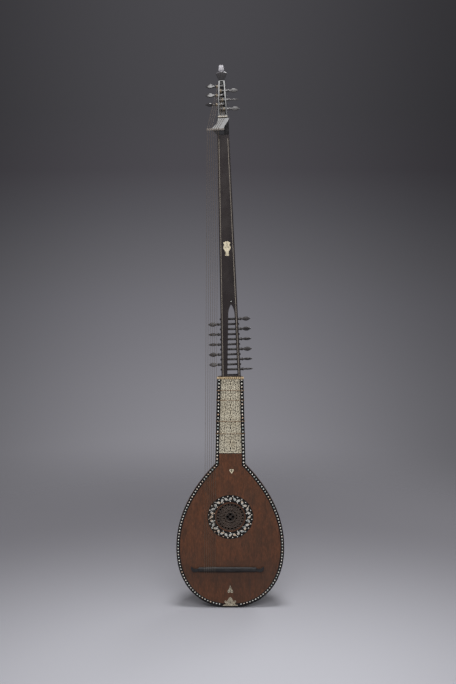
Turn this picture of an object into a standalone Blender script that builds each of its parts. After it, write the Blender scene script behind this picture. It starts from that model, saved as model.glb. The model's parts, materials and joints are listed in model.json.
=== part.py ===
# An archlute: a lute whose long upper neck carries six bass strings to a second pegbox.
# Metres, +Z up. The soundboard faces -Y, the bass side is -X and the lower end stands at Z 0.

import math

import bmesh
import bpy
import numpy as np
from mathutils import Matrix, Vector

# Clearances
GAP = 0.0003
PEG_CLEARANCE = 0.0005
INNER_CLEARANCE = 0.0008
POCKET_OPENING = 0.002
WELD = 0.000002
NUDGE = 0.0001

# Body
BODY_LENGTH = 0.5045
BODY_WIDTH = 0.3648
WIDEST_HEIGHT = 0.2104
LOWER_POWER = 2.2
UPPER_POWER = 2.08
BOWL_DEPTH = 0.160
RIB_COUNT = 7
RIB_WALL = 0.002
RIB_FOOT = 0.003
RIB_SEGMENTS = 4
LOWER_STEPS = 11
UPPER_STEPS = 10
CLASP_WALL = 0.0015
CLASP_STATIONS = 4
CLASP_FOOT_WIDTH = 0.040
CLASP_FOOT_DEPTH = 0.012
FACE_WALL = 0.0025
BAND_WIDTH = 0.012
BAR_BELOW_BRIDGE = 0.050
BAR_BELOW_ROSE = 0.085
BAR_TO_BLOCK = 0.0415
BAR_THICKNESS = 0.006
BAR_DEPTH = 0.016
BLOCK_LENGTH = 0.045
NAIL_LENGTH = 0.085
NAIL_RADIUS = 0.0025
NAIL_HEAD_RADIUS = 0.006
NAIL_HEAD_HEIGHT = 0.002
NAIL_POINT = 0.006
NAIL_BACK = 0.018

# Rose, rosette and inlays
ROSE_BELOW_SHOULDER = 0.1849
ROSE_RADIUS = 0.0535
ROSE_WALL = 0.002
SOUND_HOLE_RADIUS = 0.0485
RING_OUTER = 0.077
RING_INNER = 0.052
ROUND_STEPS = 40
ROSE_ROWS = ((4, 0.0087, 0.0046, 0.0041), (12, 0.0218, 0.0028, 0.0033),
             (16, 0.0316, 0.0033, 0.0035), (24, 0.0420, 0.0039, 0.0033))
ROSE_HOLE_STEPS = 6
INLAY_DEPTH = 0.0012
HEART_BELOW_SHOULDER = 0.0258
HEART_SIZE = (0.0144, 0.0160)
HEART_SHIFT = 0.0042
SPADE_HEIGHT = 0.0638
SPADE_SIZE = (0.0186, 0.0260)
END_ORNAMENT_HEIGHT = 0.005
END_ORNAMENT_SIZE = (0.0506, 0.0315)

# Bridge
BRIDGE_HEIGHT = 0.135
BRIDGE_SHIFT = -0.0095
BRIDGE_HALF_LENGTH = 0.097
BRIDGE_WIDTH = 0.018
BRIDGE_END_WIDTH = 0.0155
BRIDGE_TALL = 0.0095
BRIDGE_END_TALL = 0.0085
BRIDGE_CURL_THICKNESS = 0.0055
BRIDGE_CURL = ((-0.012, 0.0, 0.0060), (0.0, -0.0008, 0.0052), (0.0070, -0.0024, 0.0044),
               (0.0140, -0.0032, 0.0058),
               (0.0200, -0.0006, 0.0050), (0.0238, 0.0046, 0.0036), (0.0254, 0.0092, 0.0014))
STRING_HOLE_COUNT = 17
STRING_HOLE_RADIUS = 0.0009
STRING_HOLE_FRONT = 0.0052

# Neck, fingerboard, nut and frets
NECK_LENGTH = 0.292
NECK_WIDTH_AT_BODY = 0.1012
NECK_WIDTH_AT_NUT = 0.0870
NECK_DEPTH_AT_NUT = 0.030
NECK_STEPS = 12
NECK_STATIONS = 5
FINGERBOARD_LENGTH = 0.2555
NUT_THICKNESS = 0.006
NUT_WIDTH = 0.089
NUT_PROUD = 0.0035
NUT_GROOVES = 11
NUT_GROOVE_PITCH = 0.0068
NUT_GROOVE_HALF_WIDTH = 0.0008
NUT_GROOVE_DEPTH = 0.0008
FRET_DISTANCES = (0.0394, 0.0725, 0.1447, 0.1876)
FRET_RADIUS = 0.0005
FRET_GAP = 0.00045
FRET_CORNER = 0.0005

# Extension and lower pegbox
EXTENSION_LEAN = math.radians(1.85)
EXTENSION_SHIFT = 0.0027
EXTENSION_LENGTH = 0.7985
EXTENSION_WIDTH_LOW = 0.0638
EXTENSION_WIDTH_TOP = 0.0388
EXTENSION_FRONT = 0.0015
EXTENSION_DEPTH_LOW = 0.032
EXTENSION_DEPTH_TOP = 0.026
SLOT_FLOOR = 0.003
BASS_CHEEK_LOW = 0.0194
BASS_CHEEK_HIGH = 0.0256
TREBLE_CHEEK = 0.0105
ARCH_LENGTH = 0.038
ARCH_STEPS = 4
ARCH_FULLNESS = 0.6
LINE_INSET = 0.0055
LINE_WIDTH = 0.0016
LINE_DEPTH = 0.001
LINE_START = 0.003
LINE_END_MARGIN = 0.012
PLAQUE_CENTRE = 0.4300
PLAQUE_SIZE = (0.0246, 0.0486)

# Pegs
PEG_RADIUS = 0.0040
PEG_TIP_RADIUS = 0.0034
PEG_TIP_OUT = 0.003
PEG_CHAMFER = 0.001
PEG_BARE = 0.007
PEG_SIDES = 10
PEG_HOLE_SIDES = 12
COLLAR_RADIUS = 0.0055
COLLAR_LENGTH = 0.0035
PEG_WAIST_RADIUS = 0.0030
PEG_WAIST_LENGTH = 0.003
LEAF_LENGTH = 0.0275
LEAF_HALF_WIDTH = 0.0072
LEAF_HALF_THICKNESS = 0.0030
LEAF_FORM = ((0.0, 0.40, 0.90), (0.25, 0.80, 1.0), (0.50, 1.0, 1.0), (0.76, 0.68, 0.80), (0.94, 0.24, 0.50),
             (1.0, 0.10, 0.25))
LOWER_PEG_FIRST = 0.0223
LOWER_PEG_PITCH = 0.01697
LOWER_PEG_BACK = 0.0155
LOWER_PEG_MARGIN = 0.0139
LOWER_PEG_TURNS = (70, 25, 53, 10, -5, 78, 48, 76, 21, 15, -5)
UPPER_PEG_FIRST = 0.0816
UPPER_PEG_PITCH = 0.01436
UPPER_PEG_BACK = 0.0085
UPPER_PEG_TURNS = (-3, -40, 88, 15, -3, 15)

# Head: the upper pegbox, its console and its finial
HEAD_BLOCK_LENGTH = 0.0535
HEAD_BLOCK_WIDTH_TOP = 0.0370
HEAD_STEP = 0.0025
HEAD_LENGTH = 0.1720
HEAD_WIDTH_LOW = 0.0310
HEAD_WIDTH_TOP = 0.0210
HEAD_TILT = 0.147
HEAD_DEPTH_LOW = 0.0280
HEAD_DEPTH_TOP = 0.0185
HEAD_FRONT = 0.0010
HEAD_CHEEK = 0.0046
HEAD_FLOOR = 0.0045
HEAD_SLOT_START = 0.0640
HEAD_SLOT_END_MARGIN = 0.0014
CONSOLE_BACK = 0.010
CONSOLE_PROUD = 0.0090
CONSOLE_FORM = ((0.0005, -0.0205, 0.0035, -0.0009), (0.0100, -0.0280, 0.0035, 0.0030),
                (0.0160, -0.0350, 0.0035, CONSOLE_PROUD), (0.0228, -0.0350, 0.0025, CONSOLE_PROUD),
                (0.0280, -0.0300, 0.0045, 0.0073), (0.0345, -0.0222, 0.0095, 0.0052),
                (0.0430, -0.0172, 0.0160, 0.0024), (0.0535, -0.0150, 0.0205, -0.0010))
BASS_NUT_START = 0.0163
BASS_NUT_THICKNESS = 0.006
BASS_NUT_ENDS = (-0.0525, 0.0042)
BASS_NUT_TALL = 0.0038
BASS_NUT_NOTCH_DEPTH = 0.0010
BASS_NUT_NOTCH_HALF_WIDTH = 0.0011
HEAD_NUT_START = 0.0568
HEAD_NUT_THICKNESS = 0.0040
HEAD_NUT_PROUD = 0.0040
FINIAL_FORM = ((0.0, 0.0497), (0.0048, 0.0492), (0.0068, 0.0470), (0.0080, 0.0425), (0.0088, 0.0365),
               (0.0090, 0.0310), (0.0100, 0.0289), (0.0132, 0.0261), (0.0166, 0.0234), (0.0181, 0.0216),
               (0.0174, 0.0190), (0.0152, 0.0130), (0.0124, 0.0070), (0.0104, 0.0030), (0.0092, 0.0),
               (0.0, 0.0))
FINIAL_STEPS = 16

# Bass strings
STRING_COUNT = 6
STRING_RADIUS = 0.00045
STRING_BASS_AT_BRIDGE = -0.0874
STRING_PITCH_AT_BRIDGE = 0.0071
STRING_BASS_AT_NUT = -0.0507
STRING_PITCH_AT_NUT = 0.0071
STRING_TAIL = 0.004
OUTER_STRINGS = 3
OUTER_WINDING_START = 0.0018
INNER_WINDING_STARTS = (-0.0060, -0.0012, 0.0036)
HEAD_NUT_STRING_PITCH = 0.0062
WINDING_TURNS = 2
WINDING_STEPS = 12
WINDING_PITCH = 0.0014

# Levels worked out from the sizes above
BASE_Z = CLASP_WALL + GAP
RIM_Y = FACE_WALL + GAP
SHOULDER_Z = BASE_Z + BODY_LENGTH
FINGERBOARD_TOP_Z = SHOULDER_Z + NECK_LENGTH
FINGERBOARD_LOW_Z = FINGERBOARD_TOP_Z - FINGERBOARD_LENGTH
NECK_END_Z = FINGERBOARD_TOP_Z + GAP + NUT_THICKNESS
BRIDGE_Z = BASE_Z + BRIDGE_HEIGHT
BAR_HEIGHTS = (BRIDGE_HEIGHT - BAR_BELOW_BRIDGE, BODY_LENGTH - ROSE_BELOW_SHOULDER - BAR_BELOW_ROSE,
               BODY_LENGTH - BLOCK_LENGTH - BAR_TO_BLOCK)
ROSE_Z = SHOULDER_Z - ROSE_BELOW_SHOULDER
BASS_NUT_FRONT = -CONSOLE_PROUD - GAP - BASS_NUT_TALL
BASS_NUT_STRING_Y = BASS_NUT_FRONT + BASS_NUT_NOTCH_DEPTH - GAP - STRING_RADIUS
FACE_Y = -(BOWL_DEPTH + BASS_NUT_STRING_Y - STRING_RADIUS) / 2
HEAD_START = EXTENSION_LENGTH + GAP
SLOT_ARCH_START = LOWER_PEG_FIRST + (len(LOWER_PEG_TURNS) - 1) * LOWER_PEG_PITCH + LOWER_PEG_MARGIN

for old in list(bpy.data.objects):
    bpy.data.objects.remove(old, do_unlink=True)

PARTS = bpy.data.collections.new("archlute")
CUTTERS = bpy.data.collections.new("archlute_cutters")
CUTTERS.hide_render = True
for collection in (PARTS, CUTTERS):
    bpy.context.scene.collection.children.link(collection)


def empty(name, parent=None, location=(0, 0, 0), lean=0.0):
    """An empty that carries the pieces of one section of the instrument."""
    frame = bpy.data.objects.new(name, None)
    PARTS.objects.link(frame)
    frame.parent = parent
    frame.location = location
    frame.rotation_euler = (0, -lean, 0)
    return frame


BODY = empty("body_frame", location=(0, FACE_Y, 0))
EXTENSION = empty("extension_frame", BODY, (EXTENSION_SHIFT, 0, NECK_END_Z + GAP), EXTENSION_LEAN)


def srgb(red, green, blue):
    """A display colour in 0 to 255 as linear values."""
    parts = [value / 255 for value in (red, green, blue)]
    return [part / 12.92 if part < 0.04045 else ((part + 0.055) / 1.055) ** 2.4 for part in parts]


def material(name, colour, roughness, metallic=0.0):
    made = bpy.data.materials.new(name)
    made.use_nodes = True
    surface = made.node_tree.nodes["Principled BSDF"]
    surface.inputs["Base Color"].default_value = (*srgb(*colour), 1)
    surface.inputs["Roughness"].default_value = roughness
    surface.inputs["Metallic"].default_value = metallic
    return made


SPRUCE = material("varnished_spruce", (110, 72, 54), 0.45)
ROSEWOOD = material("dark_rosewood", (62, 44, 38), 0.4)
EBONY = material("ebony", (38, 35, 35), 0.35)
STAINED_WOOD = material("stained_hardwood", (52, 45, 44), 0.4)
IVORY = material("ivory", (205, 197, 174), 0.4)
PALE_WOOD = material("pale_wood", (176, 148, 110), 0.6)
GUT = material("gut", (150, 120, 84), 0.5)
IRON = material("iron", (70, 68, 66), 0.5, 1.0)


def add(name, data, parent, finish=None, collection=PARTS):
    """Puts one piece into the scene under its section's empty."""
    piece = bpy.data.objects.new(name, data)
    collection.objects.link(piece)
    piece.parent = parent
    if finish:
        data.materials.append(finish)
    return piece


def shade(mesh):
    mesh.shade_smooth()
    mesh.set_sharp_from_angle(angle=math.radians(35))


def loft(name, rings):
    """A closed mesh through rings of equally many points, with a flat face at each end."""
    mesh = bpy.data.meshes.new(name)
    shape = bmesh.new()
    loops = [[shape.verts.new(point) for point in ring] for ring in rings]
    for lower, upper in zip(loops, loops[1:]):
        for i in range(len(lower)):
            j = (i + 1) % len(lower)
            shape.faces.new((lower[i], lower[j], upper[j], upper[i]))
    shape.faces.new(list(reversed(loops[0])))
    shape.faces.new(loops[-1])
    bmesh.ops.recalc_face_normals(shape, faces=shape.faces)
    shape.to_mesh(mesh)
    shape.free()
    shade(mesh)
    return mesh


def flat_curve(name, outline, holes, half_thickness):
    """A filled outline in the curve's own X and Y, extruded to both sides."""
    curve = bpy.data.curves.new(name, "CURVE")
    curve.dimensions = "2D"
    curve.fill_mode = "BOTH"
    curve.extrude = half_thickness
    for points in (outline, *holes):
        spline = curve.splines.new("POLY")
        spline.points.add(len(points) - 1)
        for target, (x, y) in zip(spline.points, points):
            target.co = (x, y, 0, 1)
        spline.use_cyclic_u = True
    return curve


def plate(name, outline, front, back, parent, finish=None, holes=(), collection=PARTS):
    """A flat piece drawn in X and Z between two depths along Y."""
    piece = add(name, flat_curve(name, outline, holes, (back - front) / 2), parent, finish, collection)
    piece.location = (0, (front + back) / 2, 0)
    piece.rotation_euler = (math.pi / 2, 0, 0)
    return piece


def strip(name, outline, low, high, parent, finish):
    """A straight piece with its section drawn in X and Y between two heights."""
    piece = add(name, flat_curve(name, outline, (), (high - low) / 2), parent, finish)
    piece.location = (0, 0, (low + high) / 2)
    return piece


def as_mesh(curve_piece):
    """The same piece as a mesh, which can be cut."""
    bpy.context.view_layer.update()
    graph = bpy.context.evaluated_depsgraph_get()
    mesh = bpy.data.meshes.new_from_object(curve_piece.evaluated_get(graph))
    shape = bmesh.new()
    shape.from_mesh(mesh)
    bmesh.ops.remove_doubles(shape, verts=shape.verts, dist=WELD)
    bmesh.ops.recalc_face_normals(shape, faces=shape.faces)
    shape.to_mesh(mesh)
    shape.free()
    name = curve_piece.name
    curve_piece.name = name + "_outline"
    piece = bpy.data.objects.new(name, mesh)
    curve_piece.users_collection[0].objects.link(piece)
    piece.parent = curve_piece.parent
    piece.matrix_world = curve_piece.matrix_world
    bpy.data.objects.remove(curve_piece, do_unlink=True)
    return piece


def boolean(target, tool, operation):
    """Cuts a tool out of a piece, or joins it to the piece."""
    tool.hide_render = True
    tool.display_type = "WIRE"
    change = target.modifiers.new(tool.name, "BOOLEAN")
    change.operation = operation
    change.object = tool


def rods(name, ends, radius, sides, parent):
    """A cutter of straight rods, each between two points."""
    mesh = bpy.data.meshes.new(name)
    shape = bmesh.new()
    for start, end in ends:
        along = Vector(end) - Vector(start)
        turn = along.to_track_quat("Z", "Y").to_matrix().to_4x4()
        place = Matrix.Translation((Vector(start) + Vector(end)) / 2) @ turn
        bmesh.ops.create_cone(shape, cap_ends=True, segments=sides, radius1=radius, radius2=radius,
                              depth=along.length, matrix=place)
    shape.to_mesh(mesh)
    shape.free()
    return add(name, mesh, parent, collection=CUTTERS)


def turned(name, profile, steps, parent, finish):
    """A turned piece from a profile of (radius, height) that runs down its outer side."""
    mesh = bpy.data.meshes.new(name)
    mesh.from_pydata([(radius, 0, height) for radius, height in profile],
                     [(i, i + 1) for i in range(len(profile) - 1)], [])
    piece = add(name, mesh, parent, finish)
    screw = piece.modifiers.new("turned", "SCREW")
    screw.steps = steps
    screw.render_steps = steps
    screw.use_merge_vertices = True
    screw.merge_threshold = WELD
    return piece


def tube(name, points, radius, parent, finish, closed=False):
    """A round wire through points."""
    curve = bpy.data.curves.new(name, "CURVE")
    curve.dimensions = "3D"
    curve.bevel_depth = radius
    curve.bevel_resolution = 1
    curve.use_fill_caps = True
    spline = curve.splines.new("POLY")
    spline.points.add(len(points) - 1)
    for target, point in zip(spline.points, points):
        target.co = (*point, 1)
    spline.use_cyclic_u = closed
    return add(name, curve, parent, finish)


def circle(radius, steps, centre=(0, 0)):
    turns = [2 * math.pi * i / steps for i in range(steps)]
    return [(centre[0] + radius * math.cos(turn), centre[1] + radius * math.sin(turn)) for turn in turns]


def grown(outline, distance):
    """A closed outline moved outwards by a distance, with its corners kept."""
    points = [Vector(point) for point in outline]
    area = sum(a.x * b.y - b.x * a.y for a, b in zip(points, points[1:] + points[:1]))
    side = 1 if area > 0 else -1
    moved = []
    for i, point in enumerate(points):
        before = (point - points[i - 1]).normalized()
        after = (points[(i + 1) % len(points)] - point).normalized()
        first = side * Vector((before.y, -before.x))
        second = side * Vector((after.y, -after.x))
        middle = (first + second).normalized()
        moved.append(tuple(point + middle * distance / middle.dot(first)))
    return moved


def inlay(name, outline, front, depth, host, parent, finish, holes=()):
    """A flat piece let into a face of its host, flush with it, in a pocket that clears it all round."""
    plate(name, outline, front, front + depth, parent, finish, holes)
    kept = [grown(hole, -GAP) for hole in holes]
    pocket = plate(name + "_pocket", grown(outline, GAP), front - POCKET_OPENING, front + depth + GAP, parent,
                   holes=kept, collection=CUTTERS)
    boolean(host, as_mesh(pocket), "DIFFERENCE")


def mirrored(outline):
    """A symmetric outline from its right half, which runs from the bottom to the top."""
    return outline + [(-x, y) for x, y in reversed(outline) if x > WELD]


def ribbon(stations):
    """The outline of a band that follows centre points and half widths."""
    centres = [Vector(station[:2]) for station in stations]
    right, left = [], []
    for i, (x, y, half) in enumerate(stations):
        along = (centres[min(i + 1, len(centres) - 1)] - centres[max(i - 1, 0)]).normalized()
        side = Vector((along.y, -along.x)) * half
        right.append((x + side.x, y + side.y))
        left.append((x - side.x, y - side.y))
    return right + left[::-1]


# The body's outline and the bowl behind it


def half_width(height):
    """Half the body's width at a height above its lower end."""
    half = BODY_WIDTH / 2
    if height < WIDEST_HEIGHT:
        fall = 1 - max(height, 0) / WIDEST_HEIGHT
        return half * (1 - fall ** LOWER_POWER) ** (1 / LOWER_POWER)
    shoulder = (1 - NECK_WIDTH_AT_BODY / BODY_WIDTH) ** (1 / UPPER_POWER)
    rise = (height - WIDEST_HEIGHT) / (BODY_LENGTH - WIDEST_HEIGHT)
    return half * (1 - (shoulder * rise) ** UPPER_POWER)


def bowl_depth(height):
    return half_width(height) * BOWL_DEPTH / (BODY_WIDTH / 2)


def spread(height):
    """How much longer a step across the bowl's wall is when it is measured level."""
    steepness = (half_width(height + NUDGE) - half_width(height - NUDGE)) / (2 * NUDGE)
    return math.hypot(1, steepness)


def lower_height(turn):
    """The height of the lower outline where its generating angle is turn."""
    return WIDEST_HEIGHT * (1 - math.sin(turn) ** (2 / LOWER_POWER))


FOOT_TURN = math.asin((1 - RIB_FOOT / WIDEST_HEIGHT) ** (LOWER_POWER / 2))
RIB_HEIGHTS = [lower_height(FOOT_TURN * (1 - i / LOWER_STEPS)) for i in range(LOWER_STEPS)]
RIB_HEIGHTS += [WIDEST_HEIGHT + (BODY_LENGTH - WIDEST_HEIGHT) * i / UPPER_STEPS
                for i in range(UPPER_STEPS + 1)]
EDGE_HEIGHTS = [0, lower_height((math.pi / 2 + FOOT_TURN) / 2), *RIB_HEIGHTS]
EDGE_LINE = [(half_width(height), BASE_Z + height) for height in EDGE_HEIGHTS]
EDGE_LINE.append((NECK_WIDTH_AT_NUT / 2, FINGERBOARD_TOP_Z))


def inset_edge(distance):
    """The edge line from the lower end to the nut, moved inwards with its corners kept."""
    points = [Vector(point) for point in EDGE_LINE]
    moved = []
    for i, point in enumerate(points):
        after = (points[min(i + 1, len(points) - 1)] - points[min(i, len(points) - 2)]).normalized()
        before = (point - points[i - 1]).normalized() if i else Vector((after.x, -after.y))
        first = Vector((-before.y, before.x))
        second = Vector((-after.y, after.x))
        middle = (first + second).normalized()
        moved.append(point + middle * distance / middle.dot(first))
    last = (moved[-1] - moved[-2]).normalized()
    moved[-1] += last * (FINGERBOARD_TOP_Z - moved[-1].y) / last.y
    return [tuple(point) for point in moved]


def neck_edge(line, height):
    """Half the width between an edge line and the middle at a height on the neck."""
    (low_x, low_z), (top_x, top_z) = line[-2:]
    return low_x + (top_x - low_x) * (height - low_z) / (top_z - low_z)


def bowl_point(height, angle, inset):
    """A point of the bowl at a height and an angle round it, moved inwards along the wall's normal."""

    def outer(level, turn):
        wide = half_width(level)
        deep = bowl_depth(level) - RIM_Y
        return Vector((wide * math.cos(turn), RIM_Y + deep * math.sin(turn), BASE_Z + level))

    round_it = outer(height, angle + NUDGE) - outer(height, angle - NUDGE)
    along_it = outer(height + NUDGE, angle) - outer(height - NUDGE, angle)
    return outer(height, angle) - round_it.cross(along_it).normalized() * inset


def level_ring(height, outward, steps):
    """Half an oval round the bowl at one height, moved outwards level by the wall's clearance."""
    wide = half_width(height) + outward * spread(height)
    deep = bowl_depth(height) - RIM_Y + outward * spread(height)
    turns = [math.pi * i / steps for i in range(steps + 1)]
    return [(wide * math.cos(turn), RIM_Y + deep * math.sin(turn), BASE_Z + height) for turn in turns]


def ribs():
    for number in range(RIB_COUNT):
        rings = []
        for height in RIB_HEIGHTS:
            middle_reach = (half_width(height) + bowl_depth(height)) / 2
            half_gap = GAP / 2 / middle_reach * BODY_WIDTH / (2 * BOWL_DEPTH)
            start = math.pi * number / RIB_COUNT + (half_gap if number else 0)
            end = math.pi * (number + 1) / RIB_COUNT - (half_gap if number < RIB_COUNT - 1 else 0)
            turns = [start + (end - start) * i / RIB_SEGMENTS for i in range(RIB_SEGMENTS + 1)]
            outside = [bowl_point(height, turn, 0) for turn in turns]
            inside = [bowl_point(height, turn, RIB_WALL) for turn in reversed(turns)]
            rings.append(outside + inside)
        add(f"rib_{number + 1}", loft(f"rib_{number + 1}", rings), BODY, ROSEWOOD)


def end_clasp():
    steps = RIB_COUNT * RIB_SEGMENTS
    turns = [math.pi * i / steps for i in range(steps + 1)]
    half = CLASP_FOOT_WIDTH / 2
    foot = [(half * math.cos(turn), RIM_Y + CLASP_FOOT_DEPTH * math.sin(turn), 0) for turn in turns]
    heights = RIB_HEIGHTS[:CLASP_STATIONS]
    outside = [foot] + [level_ring(height, GAP + CLASP_WALL, steps) for height in heights]
    clasp = add("end_clasp", loft("end_clasp", outside), BODY, EBONY)
    floor = [(x, y, CLASP_WALL) for x, y, _ in foot]
    inside = [floor] + [level_ring(height, GAP, steps) for height in RIB_HEIGHTS[:CLASP_STATIONS + 1]]
    open_front = RIM_Y - POCKET_OPENING
    rings = [ring + [(ring[-1][0], open_front, ring[-1][2]), (ring[0][0], open_front, ring[0][2])]
             for ring in inside]
    boolean(clasp, add("clasp_hollow", loft("clasp_hollow", rings), BODY, collection=CUTTERS), "DIFFERENCE")


def inner_half_width(height, depth):
    """Half the room inside the ribs at a height and a depth behind the face."""
    wall = (RIB_WALL + INNER_CLEARANCE) * spread(height)
    part = (depth - RIM_Y) / (bowl_depth(height) - RIM_Y - wall)
    return (half_width(height) - wall) * math.sqrt(1 - part ** 2)


def soundboard_bars():
    for number, height in enumerate(BAR_HEIGHTS, start=1):
        low, high = height - BAR_THICKNESS / 2, height + BAR_THICKNESS / 2
        front, back = RIM_Y, RIM_Y + BAR_DEPTH
        half = min(inner_half_width(low, back), inner_half_width(high, back))
        mesh = bpy.data.meshes.new(f"soundboard_bar_{number}")
        shape = bmesh.new()
        bmesh.ops.create_cube(shape, size=1)
        bmesh.ops.scale(shape, vec=(2 * half, BAR_DEPTH, BAR_THICKNESS), verts=shape.verts)
        bmesh.ops.translate(shape, vec=(0, (front + back) / 2, BASE_Z + height), verts=shape.verts)
        shape.to_mesh(mesh)
        shape.free()
        add(mesh.name, mesh, BODY, PALE_WOOD)


# The face: soundboard, bands, rose and inlays


def rosette(host):
    centre = (0, ROSE_Z)
    inlay("rosette_ring", circle(RING_OUTER, ROUND_STEPS, centre), 0, INLAY_DEPTH, host, BODY, EBONY,
          [circle(RING_INNER, ROUND_STEPS, centre)])
    holes = []
    for row, (count, reach, half_long, half_across) in enumerate(ROSE_ROWS):
        for i in range(count):
            turn = 2 * math.pi * (i + row % 2 / 2) / count
            across = [2 * math.pi * j / ROSE_HOLE_STEPS for j in range(ROSE_HOLE_STEPS)]
            hole = [(reach + half_long * math.cos(a), half_across * math.sin(a)) for a in across]
            holes.append([(x * math.cos(turn) - y * math.sin(turn), ROSE_Z + x * math.sin(turn) + y * math.cos(turn))
                          for x, y in hole])
    plate("rose", circle(ROSE_RADIUS, ROUND_STEPS, centre), RIM_Y, RIM_Y + ROSE_WALL, BODY, ROSEWOOD, holes)


def heart_outline(size, low):
    """A heart with its point at the bottom."""
    wide, tall = size[0] / 2, size[1]
    half = [(0, 0), (0.55, 0.38), (0.95, 0.66), (1.0, 0.84), (0.78, 0.99), (0.42, 1.0), (0.12, 0.90),
            (0, 0.80)]
    return mirrored([(x * wide, low + y * tall) for x, y in half])


def spade_outline(size, low):
    """A spade with a blunt stem at the top and two round lobes below."""
    wide, tall = size[0] / 2, size[1]
    half = [(0, 0.13), (0.22, 0.09), (0.46, 0), (0.80, 0.03), (1.0, 0.18), (0.92, 0.33), (0.58, 0.50),
            (0.34, 0.66), (0.22, 0.82), (0.15, 0.96), (0, 1.0)]
    return mirrored([(x * wide, low + y * tall) for x, y in half])


def end_ornament_outline(size, low):
    """A stepped, leafy triangle."""
    wide, tall = size[0] / 2, size[1]
    half = [(1.0, 0), (0.97, 0.08), (0.66, 0.16), (0.60, 0.28), (0.72, 0.37), (0.78, 0.50), (0.68, 0.62),
            (0.55, 0.57), (0.51, 0.44), (0.42, 0.50), (0.38, 0.63), (0.28, 0.71), (0.24, 0.82), (0.13, 0.92),
            (0, 1.0)]
    return mirrored([(x * wide, low + y * tall) for x, y in half])


def face():
    inner = inset_edge(BAND_WIDTH)
    for name, side in (("edge_band_bass", -1), ("edge_band_treble", 1)):
        line = EDGE_LINE + inner[::-1]
        plate(name, [(side * max(x, GAP / 2), z) for x, z in line], 0, FACE_WALL, BODY, EBONY)
    board_line = inset_edge(BAND_WIDTH + GAP)
    board_top = FINGERBOARD_LOW_Z - GAP
    board = [point for point in board_line if point[1] < board_top]
    board.append((neck_edge(board_line, board_top), board_top))
    board[0] = (0, board[0][1])
    soundboard = as_mesh(plate("soundboard", mirrored(board), 0, FACE_WALL, BODY, SPRUCE,
                               [circle(SOUND_HOLE_RADIUS, ROUND_STEPS, (0, ROSE_Z))]))
    rosette(soundboard)
    heart_low = SHOULDER_Z - HEART_BELOW_SHOULDER - HEART_SIZE[1] / 2
    heart = [(x + HEART_SHIFT, z) for x, z in heart_outline(HEART_SIZE, heart_low)]
    inlay("heart_inlay", heart, 0, INLAY_DEPTH, soundboard, BODY, IVORY)
    spade = spade_outline(SPADE_SIZE, BASE_Z + SPADE_HEIGHT - SPADE_SIZE[1] / 2)
    inlay("spade_inlay", spade, 0, INLAY_DEPTH, soundboard, BODY, IVORY)
    plate("end_ornament", end_ornament_outline(END_ORNAMENT_SIZE, BASE_Z + END_ORNAMENT_HEIGHT),
          -GAP - INLAY_DEPTH, -GAP, BODY, IVORY)
    low, top = neck_edge(board_line, FINGERBOARD_LOW_Z), neck_edge(board_line, FINGERBOARD_TOP_Z)
    plate("fingerboard", [(-low, FINGERBOARD_LOW_Z), (low, FINGERBOARD_LOW_Z), (top, FINGERBOARD_TOP_Z),
                          (-top, FINGERBOARD_TOP_Z)], 0, FACE_WALL, BODY, IVORY)


def string_places(count, first, pitch):
    return [first + pitch * i for i in range(count)]


def bridge():
    rings = []
    for share in (-1, -0.6, 0, 0.6, 1):
        half = (BRIDGE_WIDTH + (BRIDGE_END_WIDTH - BRIDGE_WIDTH) * share ** 2) / 2
        tall = BRIDGE_TALL + (BRIDGE_END_TALL - BRIDGE_TALL) * share ** 2
        section = [(-GAP, -half), (-tall / 2, -half), (-tall, -half / 3), (-tall, half / 2),
                   (-tall * 0.7, half), (-GAP, half)]
        rings.append([(BRIDGE_SHIFT + share * BRIDGE_HALF_LENGTH, y, BRIDGE_Z + z) for y, z in section])
    beam = add("bridge", loft("bridge", rings), BODY, EBONY)
    for side in (-1, 1):
        curl = [(BRIDGE_SHIFT + side * (BRIDGE_HALF_LENGTH + x), BRIDGE_Z + z)
                for x, z in ribbon(BRIDGE_CURL)]
        plate_curl = plate(f"bridge_curl_{side}", curl, -GAP - BRIDGE_CURL_THICKNESS, -GAP, BODY,
                           collection=CUTTERS)
        boolean(beam, as_mesh(plate_curl), "UNION")
    reach = BRIDGE_WIDTH / 2 + POCKET_OPENING
    ends = [((x, -STRING_HOLE_FRONT, BRIDGE_Z - reach), (x, -STRING_HOLE_FRONT, BRIDGE_Z + reach))
            for x in string_places(STRING_HOLE_COUNT, STRING_BASS_AT_BRIDGE, STRING_PITCH_AT_BRIDGE)]
    boolean(beam, rods("bridge_holes", ends, STRING_HOLE_RADIUS, ROSE_HOLE_STEPS, BODY), "DIFFERENCE")


# The neck, its block and nail, the nut and the frets


def neck_half(height):
    low, top = NECK_WIDTH_AT_BODY / 2, NECK_WIDTH_AT_NUT / 2
    return low + (top - low) * (height - SHOULDER_Z) / NECK_LENGTH


def neck_depth(height):
    low = bowl_depth(BODY_LENGTH)
    return low + (NECK_DEPTH_AT_NUT - low) * (height - SHOULDER_Z) / NECK_LENGTH


def neck_section(height, outward=0.0):
    """Half an oval round the back of the neck at a height, from the treble side to the bass side."""
    wide = neck_half(height) + outward
    deep = neck_depth(height) - RIM_Y + outward
    turns = [math.pi * i / NECK_STEPS for i in range(NECK_STEPS + 1)]
    return [(wide * math.cos(turn), RIM_Y + deep * math.sin(turn), height) for turn in turns]


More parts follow.
